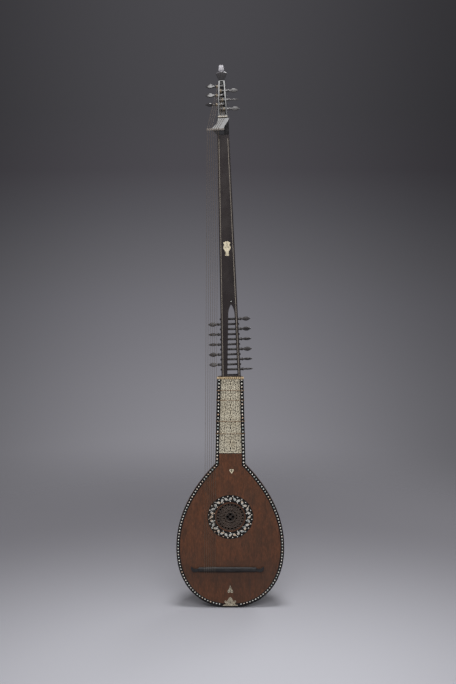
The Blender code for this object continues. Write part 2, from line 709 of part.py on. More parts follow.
def neck_and_block():
    low = SHOULDER_Z + GAP
    heights = [low + (NECK_END_Z - low) * i / (NECK_STATIONS - 1) for i in range(NECK_STATIONS)]
    neck = add("neck", loft("neck", [neck_section(height) for height in heights]), BODY, STAINED_WOOD)
    block_low = BODY_LENGTH - BLOCK_LENGTH
    wall = -(RIB_WALL + INNER_CLEARANCE)
    levels = (block_low, BODY_LENGTH - BLOCK_LENGTH / 2, BODY_LENGTH)
    rings = [level_ring(height, wall, NECK_STEPS) for height in levels]
    block = add("neck_block", loft("neck_block", rings), BODY, PALE_WOOD)
    block_z = BASE_Z + block_low
    point_z = block_z - GAP + NAIL_LENGTH
    nail = turned("neck_nail", [(0, point_z), (NAIL_RADIUS / 3, point_z), (NAIL_RADIUS, point_z - NAIL_POINT),
                                (NAIL_RADIUS, block_z - GAP), (NAIL_HEAD_RADIUS, block_z - GAP),
                                (NAIL_HEAD_RADIUS, block_z - GAP - NAIL_HEAD_HEIGHT),
                                (0, block_z - GAP - NAIL_HEAD_HEIGHT)], PEG_HOLE_SIDES, BODY, IRON)
    nail.location = (0, NAIL_BACK, 0)
    ends = [((0, NAIL_BACK, block_z - POCKET_OPENING), (0, NAIL_BACK, point_z + GAP))]
    bore = rods("nail_bore", ends, NAIL_RADIUS + PEG_CLEARANCE, PEG_HOLE_SIDES, BODY)
    boolean(neck, bore, "DIFFERENCE")
    boolean(block, bore, "DIFFERENCE")


def notched(low_x, high_x, front, back, places, half_width_of_notch, depth):
    """The section of a nut with a notch in its front edge at each string."""
    section = [(high_x, back), (low_x, back), (low_x, front)]
    for x in places:
        section += [(x - half_width_of_notch, front), (x - half_width_of_notch, front + depth),
                    (x + half_width_of_notch, front + depth), (x + half_width_of_notch, front)]
    return section + [(high_x, front)]


def nut():
    places = string_places(NUT_GROOVES, -NUT_GROOVE_PITCH * (NUT_GROOVES - 1) / 2, NUT_GROOVE_PITCH)
    section = notched(-NUT_WIDTH / 2, NUT_WIDTH / 2, -NUT_PROUD, FACE_WALL, places, NUT_GROOVE_HALF_WIDTH,
                      NUT_GROOVE_DEPTH)
    strip("nut", section, FINGERBOARD_TOP_Z + GAP, NECK_END_Z, BODY, IVORY)


def frets():
    away = FRET_GAP + FRET_RADIUS
    for number, distance in enumerate(FRET_DISTANCES, start=1):
        height = FINGERBOARD_TOP_Z - distance
        side = neck_half(height) + away
        front = [(-side, FRET_CORNER - away, height), (FRET_CORNER - side, -away, height),
                 (side - FRET_CORNER, -away, height), (side, FRET_CORNER - away, height)]
        tube(f"fret_{number}", neck_section(height, away) + front, FRET_RADIUS, BODY, GUT, closed=True)


# The extension with the lower pegbox


def extension_half(height):
    return (EXTENSION_WIDTH_LOW + (EXTENSION_WIDTH_TOP - EXTENSION_WIDTH_LOW) * height / EXTENSION_LENGTH) / 2


def extension_depth(height):
    return EXTENSION_DEPTH_LOW + (EXTENSION_DEPTH_TOP - EXTENSION_DEPTH_LOW) * height / EXTENSION_LENGTH


def slot_outline():
    """The open lower pegbox: straight cheeks that close in a pointed arch."""
    left_low = BASS_CHEEK_LOW - extension_half(SLOT_FLOOR)
    right_low = extension_half(SLOT_FLOOR) - TREBLE_CHEEK
    left = Vector((BASS_CHEEK_HIGH - extension_half(SLOT_ARCH_START), SLOT_ARCH_START))
    right = Vector((extension_half(SLOT_ARCH_START) - TREBLE_CHEEK, SLOT_ARCH_START))
    apex = Vector(((left.x + right.x) / 2, SLOT_ARCH_START + ARCH_LENGTH))
    rise = Vector((0, ARCH_FULLNESS * ARCH_LENGTH))
    outline = [(left_low, SLOT_FLOOR), (right_low, SLOT_FLOOR)]
    for foot, shares in ((right, range(ARCH_STEPS + 1)), (left, range(ARCH_STEPS - 1, -1, -1))):
        for step in shares:
            t = step / ARCH_STEPS
            point = foot * (1 - t) ** 2 + (foot + rise) * 2 * t * (1 - t) + apex * t ** 2
            outline.append(tuple(point))
    return outline


def plaque_outline(size, low):
    """A vase with a leafy top."""
    wide, tall = size[0] / 2, size[1]
    half = [(0.53, 0), (0.47, 0.06), (0.35, 0.11), (0.36, 0.19), (0.65, 0.36), (0.97, 0.51), (0.95, 0.60),
            (0.72, 0.69), (0.69, 0.75), (0.92, 0.86), (0.84, 0.93), (0.56, 0.90), (0.34, 0.98), (0, 0.95)]
    return mirrored([(x * wide, low + y * tall) for x, y in half])


def extension():
    low, top = extension_half(0), extension_half(EXTENSION_LENGTH)
    level = low * math.tan(EXTENSION_LEAN)
    outline = [(-low, level), (low, -level), (top, EXTENSION_LENGTH), (-top, EXTENSION_LENGTH)]
    back = EXTENSION_FRONT + EXTENSION_DEPTH_LOW
    beam = as_mesh(plate("extension", outline, EXTENSION_FRONT, back, EXTENSION, STAINED_WOOD, [slot_outline()]))
    for vertex in beam.data.vertices:
        if vertex.co.z < 0:
            vertex.co.z += EXTENSION_DEPTH_LOW - extension_depth(vertex.co.y)
    ends = []
    for number in range(len(LOWER_PEG_TURNS)):
        height = LOWER_PEG_FIRST + number * LOWER_PEG_PITCH
        reach = extension_half(height) + POCKET_OPENING
        depth = EXTENSION_FRONT + LOWER_PEG_BACK
        ends.append(((-reach, depth, height), (reach, depth, height)))
    holes = rods("lower_peg_holes", ends, PEG_RADIUS + PEG_CLEARANCE, PEG_HOLE_SIDES, EXTENSION)
    boolean(beam, holes, "DIFFERENCE")
    line_end = EXTENSION_LENGTH - LINE_END_MARGIN
    for name, side in (("ivory_line_bass", -1), ("ivory_line_treble", 1)):
        low_x, top_x = (side * (extension_half(z) - LINE_INSET) for z in (LINE_START, line_end))
        half = LINE_WIDTH / 2
        outline = [(low_x - half, LINE_START), (low_x + half, LINE_START), (top_x + half, line_end),
                   (top_x - half, line_end)]
        inlay(name, outline, EXTENSION_FRONT, LINE_DEPTH, beam, EXTENSION, IVORY)
    plaque = plaque_outline(PLAQUE_SIZE, PLAQUE_CENTRE - PLAQUE_SIZE[1] / 2)
    inlay("vase_plaque", plaque, EXTENSION_FRONT, INLAY_DEPTH, beam, EXTENSION, IVORY)


# Pegs


def peg_mesh(name, far_reach, near_reach):
    """A peg along +X through cheeks that end at -far_reach and near_reach, with a flat leaf for a head."""
    tip = -far_reach - PEG_TIP_OUT
    collar = near_reach + PEG_BARE
    leaf = collar + COLLAR_LENGTH + PEG_WAIST_LENGTH
    stations = [(tip, PEG_TIP_RADIUS - PEG_CHAMFER / 2, 0), (tip + PEG_CHAMFER, PEG_TIP_RADIUS, 0),
                (collar, PEG_RADIUS, 0), (collar + COLLAR_LENGTH / 4, COLLAR_RADIUS, 0),
                (collar + COLLAR_LENGTH * 3 / 4, COLLAR_RADIUS, 0),
                (collar + COLLAR_LENGTH, PEG_WAIST_RADIUS, 0)]
    stations = [(x, radius, radius) for x, radius, _ in stations]
    stations += [(leaf + share * LEAF_LENGTH, thick * LEAF_HALF_THICKNESS, wide * LEAF_HALF_WIDTH)
                 for share, wide, thick in LEAF_FORM]
    turns = [2 * math.pi * i / PEG_SIDES for i in range(PEG_SIDES)]
    return loft(name, [[(x, thick * math.cos(turn), wide * math.sin(turn)) for turn in turns]
                       for x, thick, wide in stations])


def peg(name, half, depth, height, treble_side, turn):
    piece = add(name, peg_mesh(name, half, half), EXTENSION, EBONY)
    piece.location = (0, depth, height)
    piece.rotation_euler = (math.radians(turn), 0, 0 if treble_side else math.pi)


def lower_pegs():
    for number, turn in enumerate(LOWER_PEG_TURNS):
        height = LOWER_PEG_FIRST + number * LOWER_PEG_PITCH
        peg(f"lower_peg_{number + 1}", extension_half(height), EXTENSION_FRONT + LOWER_PEG_BACK, height,
            number % 2 == 0, turn)


# The head


def head_half(height):
    share = (height - HEAD_BLOCK_LENGTH - HEAD_STEP) / (HEAD_LENGTH - HEAD_BLOCK_LENGTH - HEAD_STEP)
    return (HEAD_WIDTH_LOW + (HEAD_WIDTH_TOP - HEAD_WIDTH_LOW) * share) / 2


def head_front(height):
    return HEAD_FRONT + HEAD_TILT * (height - HEAD_BLOCK_LENGTH - HEAD_STEP)


def head_back(height):
    share = (height - HEAD_BLOCK_LENGTH - HEAD_STEP) / (HEAD_LENGTH - HEAD_BLOCK_LENGTH - HEAD_STEP)
    return head_front(height) + HEAD_DEPTH_LOW + (HEAD_DEPTH_TOP - HEAD_DEPTH_LOW) * share


def box_ring(left, right, front, back, height):
    return [(left, front, height), (right, front, height), (right, back, height), (left, back, height)]


def upper_peg_height(number):
    return UPPER_PEG_FIRST + number * UPPER_PEG_PITCH


def head():
    base_half, block_half = EXTENSION_WIDTH_TOP / 2, HEAD_BLOCK_WIDTH_TOP / 2
    box_low = HEAD_BLOCK_LENGTH + HEAD_STEP
    base_back = EXTENSION_FRONT + EXTENSION_DEPTH_TOP
    block_top = HEAD_START + HEAD_BLOCK_LENGTH
    rings = [box_ring(-base_half, base_half, EXTENSION_FRONT, base_back, HEAD_START),
             box_ring(-block_half, block_half, EXTENSION_FRONT, head_back(box_low), block_top)]
    for height in (box_low, (box_low + HEAD_LENGTH) / 2, HEAD_LENGTH):
        half = head_half(height)
        rings.append(box_ring(-half, half, head_front(height), head_back(height), HEAD_START + height))
    pegbox = add("head", loft("head", rings), EXTENSION, EBONY)
    console = [box_ring(left, right, -proud, CONSOLE_BACK, HEAD_START + height)
               for height, left, right, proud in CONSOLE_FORM]
    boolean(pegbox, add("console", loft("console", console), EXTENSION, collection=CUTTERS), "UNION")
    hollow = []
    for height in (HEAD_SLOT_START, HEAD_LENGTH - HEAD_SLOT_END_MARGIN):
        half = head_half(height) - HEAD_CHEEK
        hollow.append(box_ring(-half, half, head_front(height) - HEAD_DEPTH_LOW, head_back(height) - HEAD_FLOOR,
                               HEAD_START + height))
    cutter = add("head_hollow", loft("head_hollow", hollow), EXTENSION, collection=CUTTERS)
    boolean(pegbox, cutter, "DIFFERENCE")
    ends = []
    for number, turn in enumerate(UPPER_PEG_TURNS):
        height = upper_peg_height(number)
        half = head_half(height)
        depth = head_front(height) + UPPER_PEG_BACK
        reach = half + POCKET_OPENING
        ends.append(((-reach, depth, HEAD_START + height), (reach, depth, HEAD_START + height)))
        peg(f"upper_peg_{number + 1}", half, depth, HEAD_START + height, number % 2 == 0, turn)
    holes = rods("upper_peg_holes", ends, PEG_RADIUS + PEG_CLEARANCE, PEG_HOLE_SIDES, EXTENSION)
    boolean(pegbox, holes, "DIFFERENCE")


def head_fittings():
    places = string_places(STRING_COUNT, STRING_BASS_AT_NUT, STRING_PITCH_AT_NUT)
    section = notched(*BASS_NUT_ENDS, BASS_NUT_FRONT, -CONSOLE_PROUD - GAP, places, BASS_NUT_NOTCH_HALF_WIDTH,
                      BASS_NUT_NOTCH_DEPTH)
    low = HEAD_START + BASS_NUT_START
    strip("bass_nut", section, low, low + BASS_NUT_THICKNESS, EXTENSION, IVORY)
    half = head_half(HEAD_NUT_START)
    section = [(-half, -HEAD_NUT_PROUD), (half, -HEAD_NUT_PROUD), (half, HEAD_FRONT - GAP),
               (-half, HEAD_FRONT - GAP)]
    low = HEAD_START + HEAD_NUT_START
    strip("head_nut", section, low, low + HEAD_NUT_THICKNESS, EXTENSION, IVORY)
    finial = turned("finial", FINIAL_FORM, FINIAL_STEPS, EXTENSION, EBONY)
    middle = (head_front(HEAD_LENGTH) + head_back(HEAD_LENGTH)) / 2
    finial.location = (0, middle, HEAD_START + HEAD_LENGTH + GAP)


# The bass strings


def winding(x, depth, height, step):
    """Turns round a peg, from its front upwards, each a step further along X."""
    reach = PEG_RADIUS + GAP + STRING_RADIUS
    points = []
    for i in range(WINDING_TURNS * WINDING_STEPS + 1):
        turn = 2 * math.pi * i / WINDING_STEPS
        points.append((x + step * i / WINDING_STEPS, depth - reach * math.cos(turn), height + reach * math.sin(turn)))
    return points


def least_gap(points):
    """The least gap between parts of a winding that are half a turn or more apart."""
    places = np.array(points)
    apart = np.linalg.norm(places[:, None] - places[None], axis=2)
    order = np.abs(np.subtract.outer(np.arange(len(places)), np.arange(len(places))))
    return apart[order >= WINDING_STEPS // 2].min() - 2 * STRING_RADIUS


def bass_strings():
    to_body = Matrix.Translation(EXTENSION.location) @ Matrix.Rotation(-EXTENSION_LEAN, 4, "Y")
    at_bridge = string_places(STRING_COUNT, STRING_BASS_AT_BRIDGE, STRING_PITCH_AT_BRIDGE)
    at_nut = string_places(STRING_COUNT, STRING_BASS_AT_NUT, STRING_PITCH_AT_NUT)
    nut_low = HEAD_START + BASS_NUT_START
    gaps = []
    for number in range(STRING_COUNT):
        outer = number < OUTER_STRINGS
        place = number if outer else number - OUTER_STRINGS
        peg_number = 2 * (OUTER_STRINGS - 1 - place) + (1 if outer else 0)
        height = upper_peg_height(peg_number)
        depth = head_front(height) + UPPER_PEG_BACK
        route = [(at_nut[number], BASS_NUT_STRING_Y, nut_low),
                 (at_nut[number], BASS_NUT_STRING_Y, nut_low + BASS_NUT_THICKNESS)]
        if outer:
            turns = winding(-head_half(height) - OUTER_WINDING_START, depth, HEAD_START + height, -WINDING_PITCH)
        else:
            x = HEAD_NUT_STRING_PITCH * (place - (OUTER_STRINGS - 1) / 2)
            y = -HEAD_NUT_PROUD - GAP - STRING_RADIUS
            over = HEAD_START + HEAD_NUT_START
            route += [(x, y, over), (x, y, over + HEAD_NUT_THICKNESS)]
            turns = winding(INNER_WINDING_STARTS[place], depth, HEAD_START + height, WINDING_PITCH)
        gaps.append(least_gap(turns))
        reach = BRIDGE_WIDTH / 2 + STRING_TAIL
        hole = [(at_bridge[number], -STRING_HOLE_FRONT, BRIDGE_Z + side * reach) for side in (-1, 1)]
        points = hole + [tuple(to_body @ Vector(point)) for point in route + turns]
        tube(f"bass_string_{number + 1}", points, STRING_RADIUS, BODY, GUT)
    print(f"least gap within a peg winding {min(gaps) * 1000:.2f} mm")


face()
ribs()
end_clasp()
soundboard_bars()
bridge()
neck_and_block()
nut()
frets()
extension()
lower_pegs()
head()
head_fittings()
bass_strings()
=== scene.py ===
import json
import math

import bmesh
import bpy
from mathutils import Matrix, Vector


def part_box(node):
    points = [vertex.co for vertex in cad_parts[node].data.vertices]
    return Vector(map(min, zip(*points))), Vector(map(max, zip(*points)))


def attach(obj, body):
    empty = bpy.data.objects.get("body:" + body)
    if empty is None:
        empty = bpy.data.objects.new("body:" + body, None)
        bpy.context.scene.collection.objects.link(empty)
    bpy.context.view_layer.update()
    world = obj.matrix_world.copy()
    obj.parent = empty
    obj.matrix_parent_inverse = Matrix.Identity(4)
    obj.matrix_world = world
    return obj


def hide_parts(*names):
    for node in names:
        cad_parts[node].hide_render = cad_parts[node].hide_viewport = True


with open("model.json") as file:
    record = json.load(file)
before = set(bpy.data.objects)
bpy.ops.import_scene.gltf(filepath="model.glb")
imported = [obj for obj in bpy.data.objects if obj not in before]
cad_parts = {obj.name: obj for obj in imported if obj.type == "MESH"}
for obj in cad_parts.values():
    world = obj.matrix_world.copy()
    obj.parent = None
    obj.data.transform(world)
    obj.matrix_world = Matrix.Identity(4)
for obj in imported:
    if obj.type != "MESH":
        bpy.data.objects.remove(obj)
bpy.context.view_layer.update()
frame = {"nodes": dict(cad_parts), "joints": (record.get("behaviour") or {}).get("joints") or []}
nodes = frame["nodes"]
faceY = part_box("soundboard")[0].y   # the soundboard's front face
mainBody = "instrument"
scene = bpy.context.scene
scene.view_settings.view_transform = "Standard"
print("frame loaded with", len(nodes), "nodes")


# colours are written as display values from 0 to 255
def tone(red, green, blue):
    parts = [value / 255 for value in (red, green, blue)]
    return tuple(p / 12.92 if p < 0.04045 else ((p + 0.055) / 1.055) ** 2.4 for p in parts) + (1.0,)


# node helpers; each value is a constant, or the socket that feeds it

def addNode(tree, kind, values=None, **settings):
    node = tree.nodes.new(kind)
    for key, value in settings.items():
        setattr(node, key, value)
    for key, value in (values or {}).items():
        if isinstance(value, bpy.types.NodeSocket):
            tree.links.new(value, node.inputs[key])
        else:
            node.inputs[key].default_value = value
    return node


def addMath(tree, operation, *values):
    return addNode(tree, "ShaderNodeMath", dict(enumerate(values)), operation=operation).outputs[0]


def addRange(tree, value, fromRange=(0.0, 1.0), toRange=(0.0, 1.0), smooth=False):
    limits = dict(zip(("From Min", "From Max", "To Min", "To Max"), (*fromRange, *toRange)))
    made = addNode(tree, "ShaderNodeMapRange", {"Value": value, **limits},
                   interpolation_type="SMOOTHSTEP" if smooth else "LINEAR")
    return made.outputs[0]


def addNoise(tree, place, scale, **values):
    return addNode(tree, "ShaderNodeTexNoise", {"Vector": place, "Scale": scale, **values}).outputs[0]


def mixColour(tree, share, under, over):
    return addNode(tree, "ShaderNodeMix", {0: share, 6: under, 7: over}, data_type="RGBA").outputs[2]


def addRamp(tree, share, stops):
    ramp = addNode(tree, "ShaderNodeValToRGB", {0: share})
    marks = ramp.color_ramp.elements
    first, *middle, last = stops
    for mark, (spot, tint) in zip(marks, (first, last)):
        mark.position, mark.color = spot, tone(*tint)
    for spot, tint in middle:
        marks.new(spot).color = tone(*tint)
    return ramp.outputs[0]


def addVector(tree, operation, *values):
    return addNode(tree, "ShaderNodeVectorMath", dict(enumerate(values)), operation=operation).outputs


def joinParts(tree, x=0.0, y=0.0, z=0.0):
    return addNode(tree, "ShaderNodeCombineXYZ", {"X": x, "Y": y, "Z": z}).outputs[0]


def objectPlace(tree):
    return addNode(tree, "ShaderNodeTexCoord").outputs["Object"]


def placeParts(tree, place):
    return addNode(tree, "ShaderNodeSeparateXYZ", {0: place}).outputs


def addRelief(tree, surface, height, strength, distance):
    relief = addNode(tree, "ShaderNodeBump", {"Strength": strength, "Distance": distance, "Height": height})
    tree.links.new(relief.outputs[0], surface.inputs["Normal"])


# a node group; each input has a label, a kind of socket and a first value
def newTree(name, kind, inputs, outputs):
    tree = bpy.data.node_groups.new(name, kind)
    for label, socket, value in inputs:
        made = tree.interface.new_socket(label, in_out="INPUT", socket_type="NodeSocket" + socket)
        if value is not None:
            made.default_value = value
    for label, socket in outputs:
        tree.interface.new_socket(label, in_out="OUTPUT", socket_type="NodeSocket" + socket)
    return tree, tree.nodes.new("NodeGroupInput").outputs, tree.nodes.new("NodeGroupOutput").inputs


# shader groups shared by several finishes

def buildGrain():
    tree, start, end = newTree("woodGrain", "ShaderNodeTree", [
        ("Pale", "Color", (0.5, 0.4, 0.3, 1)), ("Dark", "Color", (0.2, 0.1, 0.1, 1)),
        ("Lines", "Vector", (700, 700, 8)), ("Figure", "Float", 0.4)],
        [("Color", "Color"), ("Height", "Float")])
    stretch = addVector(tree, "MULTIPLY", objectPlace(tree), start["Lines"])[0]
    fine = addNoise(tree, stretch, 1, Detail=5, Roughness=0.62, Distortion=0.25)
    wide = addNode(tree, "ShaderNodeVectorMath", {0: stretch, "Scale": 0.055}, operation="SCALE").outputs[0]
    broad = addNoise(tree, wide, 1, Detail=3, Roughness=0.5, Distortion=0.8)
    both = addNode(tree, "ShaderNodeMix", {0: start["Figure"], 2: fine, 3: broad}, data_type="FLOAT").outputs[0]
    share = addRange(tree, both, (0.34, 0.66))
    tree.links.new(mixColour(tree, share, start["Pale"], start["Dark"]), end["Color"])
    tree.links.new(fine, end["Height"])
    return tree


def buildPatches():
    tree, start, end = newTree("agedPatches", "ShaderNodeTree", [
        ("Scale", "Float", 12.0), ("Low", "Float", 0.5), ("High", "Float", 0.72),
        ("Upward", "Float", 1.0)], [("Mask", "Float")])
    drawn = addVector(tree, "MULTIPLY", objectPlace(tree), joinParts(tree, 1.0, 1.0, start["Upward"]))[0]
    cloud = addNoise(tree, drawn, start["Scale"], Detail=6, Roughness=0.6)
    tree.links.new(addRange(tree, cloud, (start["Low"], start["High"])), end["Mask"])
    return tree


# a soft dark line along Z, which sways and fades out towards its ends
def buildStreak():
    tree, start, end = newTree("faceStreak", "ShaderNodeTree", [
        ("Across", "Float", 0.0), ("Width", "Float", 0.002), ("Low", "Float", 0.0),
        ("High", "Float", 0.1), ("Strength", "Float", 0.5)], [("Mask", "Float")])
    place = objectPlace(tree)
    parts = placeParts(tree, place)
    cloud = addNoise(tree, place, 45, Detail=4)
    sway = addMath(tree, "MULTIPLY_ADD", cloud, 0.004, parts["X"])
    away = addMath(tree, "ABSOLUTE", addMath(tree, "SUBTRACT", sway, start["Across"]))
    line = addRange(tree, away, (0.0, start["Width"]), (1.0, 0.0), smooth=True)
    middle = addMath(tree, "ADD", start["Low"], start["High"])
    reach = addMath(tree, "SUBTRACT", start["High"], start["Low"])
    along = addMath(tree, "SUBTRACT", addMath(tree, "MULTIPLY", parts["Z"], 2), middle)
    far = addMath(tree, "ABSOLUTE", addMath(tree, "DIVIDE", along, reach))
    ends = addRange(tree, far, (0.5, 1.0), (1.0, 0.0), smooth=True)
    mask = addMath(tree, "MULTIPLY", addMath(tree, "MULTIPLY", line, ends), start["Strength"])
    tree.links.new(mask, end["Mask"])
    return tree


grainGroup = buildGrain()
patchGroup = buildPatches()
streakGroup = buildStreak()


def useGroup(tree, group, **values):
    node = tree.nodes.new("ShaderNodeGroup")
    node.node_tree = group
    for key, value in values.items():
        node.inputs[key].default_value = value
    return node.outputs


# finishes

def freshMaterial(name):
    made = bpy.data.materials.new(name)
    made.use_nodes = True
    return made, made.node_tree, made.node_tree.nodes["Principled BSDF"]


woodBase = {"wear": 0.4, "lines": (900, 900, 30), "figure": 0.3, "shine": 0.3}   # for what a wood doesn't give itself
pearlStops = (0.38, 0.45, 0.5, 0.55, 0.62)


# a wood: grain colour, worn or dusty patches, uneven gloss and a little relief
def woodFinish(name, look):
    look = {**woodBase, **look}
    made, tree, surface = freshMaterial(name)
    grain = useGroup(tree, grainGroup, Pale=tone(*look["pale"]), Dark=tone(*look["dark"]), Lines=look["lines"],
                     Figure=look["figure"])
    patches = useGroup(tree, patchGroup, Scale=look["patchScale"], Low=0.45, High=0.78)["Mask"]
    worn = addMath(tree, "MULTIPLY", patches, look["wear"])
    tree.links.new(mixColour(tree, worn, grain["Color"], tone(*look["worn"])), surface.inputs["Base Color"])
    tree.links.new(addRange(tree, patches, toRange=look["rough"]), surface.inputs["Roughness"])
    addRelief(tree, surface, grain["Height"], strength=look["relief"], distance=0.0002)
    surface.inputs["Specular IOR Level"].default_value = look["shine"]
    return made


# lays tints over a finish's own colour, each through its mask
def layTints(made, masks):
    target = made.node_tree.nodes["Principled BSDF"].inputs["Base Color"]
    colour = target.links[0].from_socket
    for mask, tint in masks:
        colour = mixColour(made.node_tree, mask, colour, tone(*tint))
    made.node_tree.links.new(colour, target)


# the soundboard's dirt, clouds and streaks, and a painted shade: a darker zone round the bridge
def stainAndShadeFace(made, form):
    tree = made.node_tree
    masks = []
    for scale, strength, tint in form["clouds"]:
        cloud = useGroup(tree, patchGroup, Scale=scale, Low=0.42, High=0.68, Upward=form["upward"])["Mask"]
        masks.append((addMath(tree, "MULTIPLY", cloud, strength), tint))
    # painted shade round the bridge: the face is darker near the bridge's height, fading out further up and down
    height = placeParts(tree, objectPlace(tree))["Z"]
    away = addMath(tree, "ABSOLUTE", addMath(tree, "SUBTRACT", height, form["bridgeZ"]))
    zone = addRange(tree, away, (0.0, form["bridgeReach"]), (form["bridgeShade"], 0.0), smooth=True)
    masks.append((zone, form["tint"]))
    for across, width, low, high, strength in form["streaks"]:
        streak = useGroup(tree, streakGroup, Across=across, Width=width, Low=low, High=high, Strength=strength)
        masks.append((streak["Mask"], form["tint"]))
    layTints(made, masks)


# round dark places on a front face, painted shade standing in for the dark seen through holes; each with its middle,
# its full radius and its outer edge
def shadeSpots(made, form):
    tree = made.node_tree
    parts = placeParts(tree, objectPlace(tree))
    flat = joinParts(tree, x=parts["X"], z=parts["Z"])
    masks = []
    for x, z, full, edge in form["spots"]:
        away = addVector(tree, "DISTANCE", flat, (x, 0, z))["Value"]
        masks.append((addRange(tree, away, (full, edge), (form["strength"], 0.0), smooth=True), form["tint"]))
    layTints(made, masks)


# rougher by some amount below a height, and less so up to a second one
def dullBelow(made, low, high, amount):
    tree = made.node_tree
    rough = tree.nodes["Principled BSDF"].inputs["Roughness"]
    extra = addRange(tree, placeParts(tree, objectPlace(tree))["Z"], (low, high), (amount, 0.0))
    tree.links.new(addMath(tree, "ADD", rough.links[0].from_socket, extra), rough)


# bone and ivory: faint growth lines, yellowed patches, soft polish
def ivoryFinish(name, look):
    made, tree, surface = freshMaterial(name)
    grain = useGroup(tree, grainGroup, Pale=tone(*look["pale"]), Dark=tone(*look["dark"]), Lines=look["lines"],
                     Figure=0.55)
    patches = useGroup(tree, patchGroup, Scale=look["patchScale"], Low=0.42, High=0.8)["Mask"]
    colour = mixColour(tree, patches, grain["Color"], tone(*look["aged"]))
    if "etched" in look:
        # thin winding lines where a smooth cloud passes its middle value
        etched = look["etched"]
        cloud = addNoise(tree, objectPlace(tree), etched["scale"], Detail=1.5, Distortion=0.6)
        away = addMath(tree, "ABSOLUTE", addMath(tree, "SUBTRACT", cloud, 0.5))
        line = addRange(tree, away, (0.0, etched["width"]), (etched["depth"], 0.0))
        colour = mixColour(tree, line, colour, tone(*etched["tint"]))
    tree.links.new(colour, surface.inputs["Base Color"])
    tree.links.new(addRange(tree, patches, toRange=(0.3, 0.5)), surface.inputs["Roughness"])
    addRelief(tree, surface, grain["Height"], strength=0.1, distance=0.0001)
    return made


# shell that shifts between cream, green and rose from piece to piece
def pearlFinish(name, look):
    made, tree, surface = freshMaterial(name)
    cloud = addNoise(tree, objectPlace(tree), look["scale"], Detail=3, Distortion=1.5)
    tree.links.new(addRamp(tree, cloud, zip(pearlStops, look["tints"])), surface.inputs["Base Color"])
    surface.inputs["Roughness"].default_value = 0.22
    surface.inputs["Coat Weight"].default_value = 0.3
    addRelief(tree, surface, cloud, strength=0.15, distance=0.0002)
    return made


spruceFace = woodFinish("spruceFace", {
    "pale": (88, 57, 40), "dark": (58, 38, 28), "worn": (77, 55, 43), "lines": (1700, 1700, 7), "figure": 0.22,
    "patchScale": 14.0, "rough": (0.42, 0.58), "relief": 0.2, "shine": 0.18})
# the darker zone round the bridge is painted shade; the clouds and streaks are the board's own marks
stainAndShadeFace(spruceFace, {
    "tint": (57, 45, 39), "bridgeZ": 0.118, "bridgeReach": 0.08, "bridgeShade": 0.36, "upward": 0.3,
    "clouds": ((61.0, 0.38, (116, 69, 44)), (210.0, 0.4, (118, 71, 48)), (7.0, 0.3, (57, 43, 36)),
               (38.0, 0.34, (62, 47, 37)), (260.0, 0.5, (50, 37, 31))),
    "streaks": ((0.069, 0.0060, 0.020, 0.115, 0.55), (-0.092, 0.0011, 0.160, 0.270, 0.75),
                (0.076, 0.0013, 0.340, 0.420, 0.6), (-0.118, 0.0010, 0.140, 0.230, 0.4),
                (0.108, 0.0012, 0.230, 0.330, 0.45), (-0.036, 0.0010, 0.020, 0.120, 0.45))})
blackBand = woodFinish("blackBand", {
    "pale": (24, 23, 23), "dark": (16, 15, 16), "worn": (34, 32, 31), "lines": (900, 900, 40), "patchScale": 40.0,
    "rough": (0.4, 0.58), "relief": 0.15, "shine": 0.15})
stainedNeck = woodFinish("stainedNeck", {
    "pale": (42, 36, 36), "dark": (30, 26, 27), "worn": (50, 43, 41), "lines": (900, 900, 9), "figure": 0.4,
    "patchScale": 14.0, "rough": (0.34, 0.5), "relief": 0.18, "shine": 0.4})
polishedEbony = woodFinish("polishedEbony", {
    "pale": (26, 25, 26), "dark": (18, 17, 18), "worn": (36, 34, 35), "patchScale": 45.0, "rough": (0.2, 0.34),
    "relief": 0.05, "shine": 0.62})
railEbony = woodFinish("railEbony", {
    "pale": (28, 27, 28), "dark": (20, 19, 20), "worn": (38, 36, 37), "patchScale": 45.0, "rough": (0.16, 0.26),
    "relief": 0.04, "shine": 1.0})
dullEbony = woodFinish("dullEbony", {
    "pale": (24, 23, 23), "dark": (16, 15, 16), "worn": (32, 30, 30), "lines": (900, 900, 900), "patchScale": 90.0,
    "rough": (0.62, 0.8), "relief": 0.2, "shine": 0.2})
# paler copies of the ebony for the finial, lighter towards its top: a painted sheen on the cup, and a painted
# highlight on the leaves' upper faces and on the bud, where polished ebony catches the lamps from above
cupSheenEbony = woodFinish("cupSheenEbony", {
    "pale": (64, 62, 64), "dark": (46, 44, 45), "worn": (76, 73, 75), "patchScale": 60.0, "rough": (0.34, 0.46),
    "relief": 0.08, "shine": 0.5})
leafHighlightEbony = woodFinish("leafHighlightEbony", {
    "pale": (82, 80, 84), "dark": (64, 62, 66), "worn": (98, 95, 100), "wear": 0.5, "patchScale": 90.0,
    "rough": (0.26, 0.38), "relief": 0.06, "shine": 1.0})
budHighlightEbony = woodFinish("budHighlightEbony", {
    "pale": (126, 124, 129), "dark": (104, 102, 107), "worn": (142, 139, 145), "wear": 0.5, "patchScale": 90.0,
    "rough": (0.42, 0.56), "relief": 0.06, "shine": 0.8})
pegEbony = woodFinish("pegEbony", {
    "pale": (44, 42, 42), "dark": (31, 29, 30), "worn": (58, 55, 55), "lines": (40, 1100, 1100), "patchScale": 70.0,
    "rough": (0.2, 0.36), "relief": 0.08, "shine": 0.6})
dullPeg = woodFinish("dullPeg", {
    "pale": (60, 58, 58), "dark": (48, 46, 46), "worn": (76, 73, 73), "lines": (40, 1100, 1100), "patchScale": 70.0,
    "rough": (0.42, 0.52), "relief": 0.08, "shine": 0.7})
wornPeg = woodFinish("wornPeg", {
    "pale": (46, 43, 43), "dark": (33, 30, 31), "worn": (62, 58, 57), "wear": 0.45, "lines": (40, 1100, 1100),
    "patchScale": 60.0, "rough": (0.38, 0.55), "relief": 0.1})
